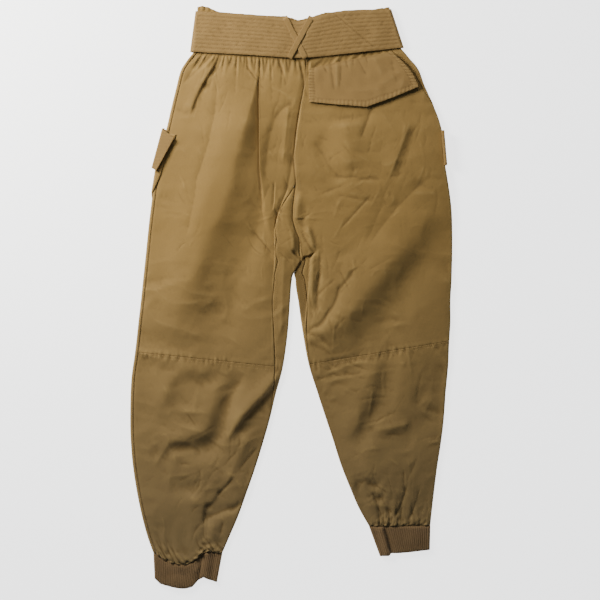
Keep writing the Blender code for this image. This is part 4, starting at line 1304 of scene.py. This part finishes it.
def cargo_patch(name, leg, rear, finish):
    v = np.linspace(PATCH_FROM, PATCH_TO, 76)
    start = rear_edge(rear, v)
    near = start[:, None] + (-18 - start[:, None]) * (np.arange(34) / 33)
    far = -18 + (-PATCH_REACH + 18) * (np.arange(1, 23) / 22)
    s = np.concatenate([near, np.broadcast_to(far, (len(v), len(far)))], 1)
    away = np.minimum(start[:, None] - s, np.minimum(v - PATCH_FROM, PATCH_TO - v)[:, None] * 40)
    out = LAYER - 0.7 * bell(away, 0.9) + 0.25 * bell(away - 3, 2.5)
    points = leg.point(v[:, None], s, 0, out)
    points[..., 2] = np.maximum(points[..., 2], 0.45)
    return shell(name, name, points, SHELL, finish, wear_and_shade=0.5 + 0.4 * bell(away, 1.4))


def flap_grid(leg, corners, rows, fine):
    """The side pocket's flap: it stands off the turned edge before it goes under the leg."""
    top_edge, top_rear = np.array(corners["top_edge"], float), np.array(corners["top_rear"], float)
    low_edge, low_rear = np.array(corners["low_edge"], float), np.array(corners["low_rear"], float)
    grid = []
    for w in rows:
        edge = top_edge * (1 - w) + low_edge * w
        rear = top_rear * (1 - w) + low_rear * w
        inward = np.array([-leg.side, 0.0])
        v = 6.0 + 1.4 * w
        low = CLOTH / 2
        leg.plain = True
        high = float(leg.point(v, 24.0, 0)[2]) + 2 * LAYER + 0.8
        leg.plain = False
        half = (high - low) / 2
        t = np.linspace(1, 0.04, fine)
        first = edge + (rear - edge) * t[:, None]
        bulge = 0.5 * np.sin(math.pi * t) - 0.4 * (1 - t)
        first = np.column_stack([first, high + bulge * 0.6 + 1.9 * np.maximum(t - 0.3, 0) ** 1.3 * (leg.side < 0)])
        a = math.pi / 2 - math.pi * np.arange(1, 12) / 12
        turn = edge + inward * (half * (1 - np.cos(a)) * 0.8)[:, None]
        turn = np.column_stack([turn, low + half + half * np.sin(a)])
        d = np.linspace(0.01, 1, 26)
        under = edge + inward * (half * 0.8 + FLAP_REACH * d)[:, None]
        under = np.column_stack([under, np.full(len(d), low)])
        grid.append(np.concatenate([first, turn, under]))
    return np.array(grid)


def cargo_flap(name, leg, corners, finish):
    rows = even_steps(44, (0.006, 0.016))
    points = flap_grid(leg, corners, rows, 16)
    away = np.minimum(rows, 1 - rows)[:, None] * 70
    shown = np.arange(points.shape[1]) < 20
    ripple = 0.15 * np.sin(points[..., 1] * 1.1) * shown
    ripple += 0.35 * np.clip(waves(points[..., 0], points[..., 1], 30, 91), 0, 2) * ~shown
    points[..., 2] += ripple - 0.25 * bell(away, 0.9) + 0.12
    points[..., 2] = np.maximum(points[..., 2], 0.65)
    return shell(name, name, points, 1.1, finish, wear_and_shade=0.5 + 0.4 * bell(away, 1.6) + 0 * points[..., 0])


# ---------------------------------------------------------------- cuffs
CUFFS = {
    # foot_left, foot_right, bow, ribs, folds of the knit
    "cuff_left": ((-229, -478), (-125, -478), 10, 36, (
        (-150, -428, -157, -492, 2, 4, 3, -2.2, 1.6),
        (-140, -430, -143, -492, 0, 8, 5, 1.8, 2),
        (-200, -436, -190, -490, 0, 14, 14, 0.8, 2),
        (-128, -430, -133, -480, 0, 4, 4, -0.8, 2),
    )),
    "cuff_right": ((150, -432), (233, -425), 1, 27, (
        (151, -384, 165, -437, 1, 9, 2.4, 3.4, 2.4),
        (157, -384, 170, -437, 1, 2, 5, -1.6, 1.6),
        (205, -386, 206, -430, 0, 16, 16, 0.7, 2),
    )),
}


def cuff(name, leg, last, finish):
    foot_left, foot_right, bow, ribs, folds = CUFFS[name]
    outer, along, width, *_ = leg.facts(np.array([float(last)]), 1)
    inner = outer + along * width[..., None]
    head = (outer[0], inner[0]) if leg.side < 0 else (inner[0], outer[0])
    share_top = np.linspace(0.025, 0.975, ribs * 7)
    share_low = np.linspace(0.975, 0.025, ribs * 4)
    r = 2.1
    rows = []
    for w in np.unique(np.concatenate([np.linspace(0, 1, 22), [0.02, 0.985]])):
        a = (head[0] - (0, SEAM)) * (1 - w) + np.array(foot_left) * w
        b = (head[1] - (0, SEAM)) * (1 - w) + np.array(foot_right) * w
        edge = np.minimum(w, 1 - w) * 46

        def at(share):
            p = a + (b - a) * np.asarray(share, float)[..., None]
            drop = 3.5 * w * (1 - smoothstep(p[..., 0], 164, 169)) * (leg.side > 0)
            return p[..., 0], p[..., 1] - w * bow * np.sin(math.pi * share) ** 2 - drop

        def rib(share):
            return 0.55 * (np.abs(np.cos(math.pi * share * ribs)) ** 0.9 - 0.5)

        (lx, ly), (rx, ry) = at(0.0), at(1.0)
        xa, za = arc(float(lx), 1, CUFF_CLOTH / 2 + r, r, 12, False)
        xb, zb = arc(float(rx), -1, CUFF_CLOTH / 2 + r, r, 12, True)
        xs, ys = at(share_top)
        bumps = np.zeros(xs.shape)
        add_folds(bumps, xs, ys, folds)
        body = 2 * r + bumps + 0.3 * waves(xs, ys, 22, 51) + 0.8 * np.sin(math.pi * share_top) - 1.0 * bell(edge, 1.2)
        body = 1.9 + np.logaddexp(0, (body - 1.9) / 0.5) * 0.5
        zs = CUFF_CLOTH / 2 + body + rib(share_top)
        xk, yk = at(share_low)
        zk = CUFF_CLOTH / 2 + 0.05 - 0.12 * np.abs(np.cos(math.pi * share_low * ribs)) + 0.25 * bell(edge, 1.2)
        x = np.concatenate([xa, xs, xb, xk])
        y = np.concatenate([np.full(len(xa), float(ly)), ys, np.full(len(xb), float(ry)), yk])
        z = np.concatenate([za, zs, zb, zk])
        rows.append(np.stack([x, y, z], -1))
    points = settle(np.array(rows))
    return shell(name, name, points, 1.3, finish, ring=True)


# ---------------------------------------------------------------- stitches
def stitches(name, runs, finish, length=2.6, gap=0.9, radius=0.25):
    """Runs of thread on the cloth, as one mesh: each stitch is a short rounded bar that dips in at its ends."""
    centres, ways = [], []
    for k, path in enumerate(runs):
        path = np.asarray(path, float)
        run = np.concatenate([[0], np.cumsum(np.linalg.norm(np.diff(path, axis=0), axis=1))])
        keep = np.concatenate([[True], np.diff(run) > 1e-6])
        path, run = path[keep], run[keep]
        pitch = length + gap
        at = np.arange(pitch * (0.4 + 0.23 * (k % 3)), run[-1] - pitch / 2, pitch)
        a = np.stack([np.interp(at - length / 2, run, path[:, i]) for i in range(3)], -1)
        b = np.stack([np.interp(at + length / 2, run, path[:, i]) for i in range(3)], -1)
        m = np.stack([np.interp(at, run, path[:, i]) for i in range(3)], -1)
        centres.append((a + b + 2 * m) / 4)
        ways.append(b - a)
    centre, way = np.concatenate(centres), np.concatenate(ways)
    size = np.linalg.norm(way, axis=1, keepdims=True)
    way = way / np.maximum(size, 1e-6)
    up = np.array([0.0, 0.0, 1.0])
    side = np.cross(way, up)
    side /= np.maximum(np.linalg.norm(side, axis=1, keepdims=True), 1e-6)
    out = np.cross(side, way)
    rings = []
    for along, wide, high in ((-0.5, 0.45, -0.16), (0.0, 1.0, 0.0), (0.5, 0.45, -0.16)):
        for cs, cn in ((1, 0), (0, 1), (-1, 0), (0, -1)):
            rings.append(centre + way * size * along + side * cs * radius * wide + out * (cn * radius * wide + high))
    points = np.stack(rings, 1)
    points[..., 2] = np.maximum(points[..., 2], 0.05)
    count = len(centre)
    quads = [(0, 3, 2, 1), (8, 9, 10, 11)]
    for r in (0, 4):
        quads += [(r + i, r + (i + 1) % 4, r + 4 + (i + 1) % 4, r + 4 + i) for i in range(4)]
    quads = (np.array(quads)[None] + 12 * np.arange(count)[:, None, None]).reshape(-1, 4)
    mesh = mesh_of(name, points.reshape(-1, 3), quads)
    mesh.materials.append(finish)
    obj = bpy.data.objects.new(name, mesh)
    bpy.context.scene.collection.objects.link(obj)
    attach(obj, "root")
    return obj


ON = SHELL / 2 + 0.10  # thread lies this far from the middle of the shell


def along_leg(leg, v, distance, out=ON):
    """A line on the leg's cloth. distance(parted, v) gives its place on the section."""
    def columns(parted, at):
        return distance(parted, at)[:, None], out

    return leg.strip(v, columns)[:, 0]


def seam_lines():
    runs = []
    for leg, last in ((left, LEFT_CUFF), (right, RIGHT_CUFF)):
        whole = np.linspace(0.9, last - 0.03, 420)
        for inset in (1.5, 5.2):  # side seam, on the front panel's strip
            runs.append(along_leg(leg, whole, lambda parted, v, k=inset: leg.wraps(v)[0] - SEAM / 2 - k))
        inner = np.linspace(8.9, 14.8, 300) if leg.side < 0 else np.linspace(11.3, 13.9, 150)
        for inset in (1.5, 5.2):  # inseam
            runs.append(along_leg(leg, inner, lambda parted, v, k=inset: parted * (2 * 0 + leg.length(v, 1) - leg.wraps(v)[1] + seam_width(v) / 2 + k) + (1 - parted) * leg.length(v, 0)))
        for inset in (1.6, 6.0):  # knee seam, below it
            at = KNEE + inset / 45
            share = np.linspace(0, 1, 220)
            start, stop = float(leg.wraps(at)[0]) + 1.5, float(leg.length(at, 1) - leg.wraps(at)[1]) - 1.5
            s = start + (stop - start) * share
            runs.append(leg.point(np.full(220, at), s, 1, ON))
    hip = np.linspace(1.3, 10.4, 260)
    for inset in (1.5, 6.0):  # centre seam, on the right panel
        runs.append(along_leg(right, hip, lambda parted, v, k=inset: right.length(v, parted) - 3.8 * parted - k))
    return runs


def belt_lines():
    runs = []
    share = np.linspace(0.02, 0.98, 420)
    for k in range(BELT_STITCH_ROWS):
        low = (k + 0.19 + 0.0) * 6.45 / 67
        if 0.01 < low < 0.99:
            x, y, z = belt_surface(share, np.full(share.shape, low))
            runs.append(np.stack([x, y, z + BELT_THICK / 2 + 0.12], -1))
    return runs


def inset_flap_line(inset):
    """A line inside the back pocket flap's three free edges."""
    tall, wide = 62.0, 160.0
    w1, u0, u1 = 1 - inset / tall, inset / wide, 1 - inset / wide
    parts = [
        (np.full(60, u0), np.linspace(0.05, w1, 60)),
        (np.linspace(u0, u1, 180), np.full(180, w1)),
        (np.full(60, u1), np.linspace(w1, 0.05, 60)),
    ]
    u, w = (np.concatenate([p[i] for p in parts]) for i in (0, 1))
    points = flap_surface(u, w)
    points[:, 2] += 1.15 / 2 + 0.12
    return points


def strap_lines():
    runs = []
    for name, top, bottom, over in STRAPS:
        start, run, side = strap_frame(top, bottom)
        t = np.linspace(0.05, 0.95, 60)
        for k in (-0.66, 0.66):
            x = start[0] + run[0] * t + side[0] * k * STRAP_W / 2
            y = start[1] + run[1] * t + side[1] * k * STRAP_W / 2
            runs.append(np.stack([x, y, strap_z(x, y, t, over) + 0.5 + 0.10], -1))
    return runs


def pocket_lines():
    runs = []
    for leg, rear in ((left, LEFT_REAR), (right, RIGHT_REAR)):
        for inset in (1.6, 5.2):
            v = np.linspace(7.4, PATCH_TO - 0.06, 90)
            s = rear_edge(rear, v) - inset
            points = leg.point(v, s, 0, LAYER + ON)
            runs.append(points)
    for leg, corners in ((left, LEFT_FLAP), (right, RIGHT_FLAP)):
        grid = flap_grid(leg, corners, np.linspace(0.04, 0.96, 24), 16)
        for column in (1, 4):
            line = grid[:, column].copy()
            line[:, 2] += 0.55 + 0.15
            runs.append(line)
    return runs


def cuff_ticks():
    """Overlock stitches over the cuffs' seams: none are made, and the list stays empty."""
    runs = []
    return runs


# ---------------------------------------------------------------- materials
class Nodes:
    def __init__(self, name):
        self.material = bpy.data.materials.new(name)
        self.material.use_nodes = True
        self.tree = self.material.node_tree
        self.tree.nodes.clear()
        self.output = self.make("ShaderNodeOutputMaterial")
        self.shader = self.make("ShaderNodeBsdfPrincipled")
        self.join(self.shader.outputs[0], self.output.inputs["Surface"])
        self.place = self.make("ShaderNodeTexCoord").outputs["Object"]

    def make(self, kind, **values):
        node = self.tree.nodes.new(kind)
        for key, value in values.items():
            setattr(node, key, value)
        return node

    def join(self, a, b):
        self.tree.links.new(a, b)

    def mapped(self, scale=(1, 1, 1), turn=0.0):
        node = self.make("ShaderNodeMapping")
        node.inputs["Scale"].default_value = scale
        node.inputs["Rotation"].default_value = (0, 0, turn)
        self.join(self.place, node.inputs["Vector"])
        return node.outputs[0]

    def noise(self, scale, detail=2.0, rough=0.5, where=None):
        node = self.make("ShaderNodeTexNoise")
        node.inputs["Scale"].default_value = scale
        node.inputs["Detail"].default_value = detail
        node.inputs["Roughness"].default_value = rough
        self.join(where or self.place, node.inputs["Vector"])
        return node.outputs[0]

    def bands(self, scale, direction="DIAGONAL", warp=0.6, where=None):
        node = self.make("ShaderNodeTexWave", wave_type="BANDS", bands_direction=direction, wave_profile="SIN")
        node.inputs["Scale"].default_value = scale
        node.inputs["Distortion"].default_value = warp
        node.inputs["Detail"].default_value = 1.0
        node.inputs["Detail Scale"].default_value = 2.0
        self.join(where or self.place, node.inputs["Vector"])
        return node.outputs["Fac"]

    def span(self, value, a, b, c, d):
        """Maps a..b to c..d."""
        node = self.make("ShaderNodeMapRange")
        for key, number in (("From Min", a), ("From Max", b), ("To Min", c), ("To Max", d)):
            node.inputs[key].default_value = number
        self.join(value, node.inputs["Value"])
        return node.outputs[0]

    def math(self, kind, a, b):
        node = self.make("ShaderNodeMath", operation=kind)
        for socket, value in zip(node.inputs, (a, b)):
            if isinstance(value, (int, float)):
                socket.default_value = value
            else:
                self.join(value, socket)
        return node.outputs[0]

    def mix(self, share, a, b, kind="MIX"):
        node = self.make("ShaderNodeMix", data_type="RGBA", blend_type=kind)
        for socket, value in ((node.inputs[0], share), (node.inputs[6], a), (node.inputs[7], b)):
            if isinstance(value, (int, float)):
                socket.default_value = value
            elif isinstance(value, tuple):
                socket.default_value = (*value, 1.0)
            else:
                self.join(value, socket)
        return node.outputs[2]

    def bump(self, height, strength, distance, after=None):
        node = self.make("ShaderNodeBump")
        node.inputs["Strength"].default_value = strength
        node.inputs["Distance"].default_value = distance
        self.join(height, node.inputs["Height"])
        if after:
            self.join(after, node.inputs["Normal"])
        return node.outputs[0]


def cotton(name, dark, light, worn, turn=0.0, wear_and_shade=0.5, weave=470.0):
    """Cotton twill: steep wales, uneven yarn, faded mottling and paler wear where folds and edges rub. Painted shade
    darkens the hollows, the seams, the strip under the belt and the pleat's crease, and a painted shade turns the cloth
    darker and bluer towards the cuffs.
    """
    n = Nodes(name)
    where = n.mapped((1, 1, 0.25), turn)
    wales = n.bands(weave, "DIAGONAL", 1.2, where)
    yarn = n.noise(1500, 2, 0.6, n.mapped((1.0, 0.25, 1.0), turn))
    slub = n.noise(260, 3, 0.6, n.mapped((0.22, 1.0, 1.0), turn))
    mottle = n.noise(62, 4, 0.62)
    cloud = n.noise(9, 3, 0.5)
    tone = n.math("ADD", n.span(mottle, 0.25, 0.75, 0.0, 0.34), n.span(cloud, 0.3, 0.7, 0.15, 0.6))
    colour = n.mix(tone, dark, light)
    colour = n.mix(n.span(slub, 0.35, 0.7, 0.0, 0.22), colour, light)
    colour = n.mix(n.span(wales, 0, 1, 0.16, 0.0), colour, tuple(0.55 * k for k in dark))
    colour = n.mix(n.span(yarn, 0.3, 0.7, 0.14, 0.0), colour, tuple(0.5 * k for k in dark))
    # The attribute read here holds paler wear on ridges and painted shade in hollows and seams.
    mark = n.make("ShaderNodeAttribute", attribute_type="GEOMETRY", attribute_name="wear_and_shade").outputs["Fac"]
    parts = n.make("ShaderNodeSeparateXYZ")
    n.join(n.place, parts.inputs[0])
    # Painted shade: the cloth turns darker and bluer towards the cuffs, where the lamps' light falls off.
    painted_falloff_shade = n.span(parts.outputs["Y"], -0.44, 0.12, 0.68, 0.0)
    colour = n.mix(painted_falloff_shade, colour, (0.84 * dark[0], 1.0 * dark[1], 1.75 * dark[2]))
    rub = n.math("MULTIPLY", n.span(mark, 0.60, 1.0, 0.0, wear_and_shade * 0.7), n.span(mottle, 0.3, 0.7, 0.5, 1.0))
    colour = n.mix(rub, colour, worn)
    # Painted shade: where the attribute is low (hollows, seams, under the belt, the pleat's crease) the cloth is mixed
    # towards half its dark tone.
    colour = n.mix(n.span(mark, 0.0, 0.44, 0.55, 0.0), colour, tuple(0.5 * k for k in dark))
    n.join(colour, n.shader.inputs["Base Color"])
    n.join(n.span(n.math("ADD", yarn, slub), 0.6, 1.4, 0.78, 0.93), n.shader.inputs["Roughness"])
    n.shader.inputs["Sheen Weight"].default_value = 0.12
    n.shader.inputs["Sheen Roughness"].default_value = 0.45
    n.shader.inputs["Sheen Tint"].default_value = (0.95, 0.85, 0.68, 1.0)
    n.shader.inputs["Specular IOR Level"].default_value = 0.28
    fine = n.math("ADD", n.math("MULTIPLY", wales, 0.7), n.math("MULTIPLY", yarn, 0.6))
    normal = n.bump(fine, 0.35, 0.00022)
    normal = n.bump(n.noise(230, 4, 0.65), 0.16, 0.0009, normal)
    n.join(normal, n.shader.inputs["Normal"])
    return n.material


def knit(name, dark, light):
    """Rib knit: rows of small V-shaped loops on the ribs."""
    n = Nodes(name)
    rows = n.bands(520, "Y", 1.2)
    loops = n.bands(620, "DIAGONAL", 1.0, n.mapped((1, 0.7, 0)))
    mottle = n.noise(40, 3, 0.5)
    fuzz = n.noise(1300, 2, 0.6)
    colour = n.mix(n.span(mottle, 0.3, 0.7, 0.0, 1.0), dark, light)
    colour = n.mix(n.span(rows, 0, 1, 0.12, 0.0), colour, tuple(0.5 * k for k in dark))
    colour = n.mix(n.span(fuzz, 0.3, 0.7, 0.08, 0.0), colour, tuple(0.5 * k for k in dark))
    n.join(colour, n.shader.inputs["Base Color"])
    n.join(n.span(fuzz, 0.3, 0.7, 0.85, 0.98), n.shader.inputs["Roughness"])
    n.shader.inputs["Sheen Weight"].default_value = 0.2
    n.shader.inputs["Sheen Roughness"].default_value = 0.5
    n.shader.inputs["Sheen Tint"].default_value = (0.95, 0.85, 0.68, 1.0)
    n.shader.inputs["Specular IOR Level"].default_value = 0.2
    normal = n.bump(n.math("ADD", rows, n.math("MULTIPLY", loops, 0.6)), 0.25, 0.00025)
    normal = n.bump(fuzz, 0.3, 0.0003, normal)
    n.join(normal, n.shader.inputs["Normal"])
    return n.material


def thread(name, dark, light):
    """Sewing thread: a soft gloss, and a twist across the stitch."""
    n = Nodes(name)
    twist = n.bands(900, "DIAGONAL", 0.5)
    tone = n.noise(400, 2, 0.5)
    colour = n.mix(n.span(tone, 0.3, 0.7, 0.0, 1.0), dark, light)
    colour = n.mix(n.span(twist, 0, 1, 0.25, 0.0), colour, tuple(0.5 * k for k in dark))
    n.join(colour, n.shader.inputs["Base Color"])
    n.shader.inputs["Roughness"].default_value = 0.6
    n.shader.inputs["Specular IOR Level"].default_value = 0.35
    n.join(n.bump(twist, 0.4, 0.0001), n.shader.inputs["Normal"])
    return n.material


TWILL = cotton("cotton_twill", (0.268, 0.158, 0.041), (0.314, 0.190, 0.051), (0.42, 0.272, 0.090))
BELT_TWILL = cotton("belt_twill", (0.250, 0.146, 0.042), (0.298, 0.178, 0.055), (0.385, 0.245, 0.088), turn=0.5)
TRIM_TWILL = cotton("trim_twill", (0.266, 0.156, 0.045), (0.315, 0.189, 0.059), (0.41, 0.268, 0.097), turn=-0.35)
RIB = knit("rib_knit", (0.205, 0.124, 0.052), (0.245, 0.150, 0.066))
THREAD = thread("sewing_thread", (0.37, 0.225, 0.078), (0.43, 0.27, 0.10))

# ---------------------------------------------------------------- pieces
for leg, word, last in ((left, "left", LEFT_CUFF), (right, "right", RIGHT_CUFF)):
    gap = 0.0035
    upper = station_rows(0.0, KNEE - gap, 2.6, leg, ((KNEE - gap, -1),), (9.0, 11.7))
    lower = station_rows(KNEE + gap, last, 2.3, leg, ((KNEE + gap, 1), (last, -1)))
    crease = "long pleat" if leg.side < 0 else None
    back_panel("back_%s_upper" % word, leg, upper, TWILL, 2.05, crease)
    back_panel("back_%s_lower" % word, leg, lower, TWILL, 2.15)
    front = station_rows(0.0, last, 3.5, leg, (), (8.6, 12.0))
    front_panel("front_" + word, leg, front, TWILL)
waistband(TWILL)
belt(BELT_TWILL)
for name, top, bottom, over in STRAPS:
    belt_loop(name, top, bottom, over, TRIM_TWILL)
back_flap(TRIM_TWILL)
cargo_patch("cargo_pocket_left", left, LEFT_REAR, TWILL)
cargo_patch("cargo_pocket_right", right, RIGHT_REAR, TWILL)
cargo_flap("cargo_flap_left", left, LEFT_FLAP, TRIM_TWILL)
cargo_flap("cargo_flap_right", right, RIGHT_FLAP, TRIM_TWILL)
cuff("cuff_left", left, LEFT_CUFF, RIB)
cuff("cuff_right", right, RIGHT_CUFF, RIB)
stitches("seam_stitches", seam_lines(), THREAD)
stitches("belt_stitches", belt_lines(), THREAD, 2.4, 1.2, 0.22)
stitches("trim_stitches", [inset_flap_line(2.0), inset_flap_line(7.2)] + strap_lines() + pocket_lines(), THREAD, 2.2, 0.9, 0.22)

# ---------------------------------------------------------------- stage, light, camera
floor_points = np.array([(-3000, -3000, -0.3), (3000, -3000, -0.3), (3000, 3000, -0.3), (-3000, 3000, -0.3)], float)
floor_mesh = mesh_of("floor", floor_points, [(0, 1, 2, 3)])
floor = bpy.data.objects.new("floor", floor_mesh)
bpy.context.scene.collection.objects.link(floor)
pale = bpy.data.materials.new("pale_floor")
pale.use_nodes = True
paint = pale.node_tree.nodes["Principled BSDF"]
paint.inputs["Base Color"].default_value = (0.82, 0.82, 0.81, 1.0)
paint.inputs["Roughness"].default_value = 0.95
paint.inputs["Specular IOR Level"].default_value = 0.1
paint.inputs["Emission Color"].default_value = (1.0, 1.0, 0.995, 1.0)
paint.inputs["Emission Strength"].default_value = 2.4
floor_mesh.materials.append(pale)

world = bpy.data.worlds.new("studio")
bpy.context.scene.world = world
world.use_nodes = True
background = world.node_tree.nodes["Background"]
background.inputs["Color"].default_value = (0.72, 0.90, 1.22, 1.0)
background.inputs["Strength"].default_value = 0.14


def lamp(name, place, aim, size, watts, colour):
    light = bpy.data.lights.new(name, "AREA")
    light.shape = "DISK"
    light.size = size
    light.energy = watts
    light.color = colour
    obj = bpy.data.objects.new(name, light)
    obj.location = place
    obj.rotation_euler = (Vector(aim) - Vector(place)).to_track_quat("-Z", "Y").to_euler()
    bpy.context.scene.collection.objects.link(obj)
    return obj


lamp("key", (-0.85, 0.72, 0.66), (0.20, 0.06, 0.0), 0.50, 24.8, (1.0, 0.985, 0.955))
lamp("top", (-0.10, 1.15, 0.60), (0.0, 0.25, 0.0), 0.45, 3.4, (1.0, 0.985, 0.955))

lens = bpy.data.cameras.new("camera")
lens.type = "PERSP"
lens.lens = 70.0
lens.sensor_width = 36.0
lens.clip_end = 20.0
lens.dof.use_dof = False
camera = bpy.data.objects.new("camera", lens)
camera.location = (0.0151, -0.0050, 1.966)
camera.rotation_euler = (0.0, 0.0, 0.0)
bpy.context.scene.collection.objects.link(camera)
bpy.context.scene.camera = camera

bpy.context.view_layer.update()
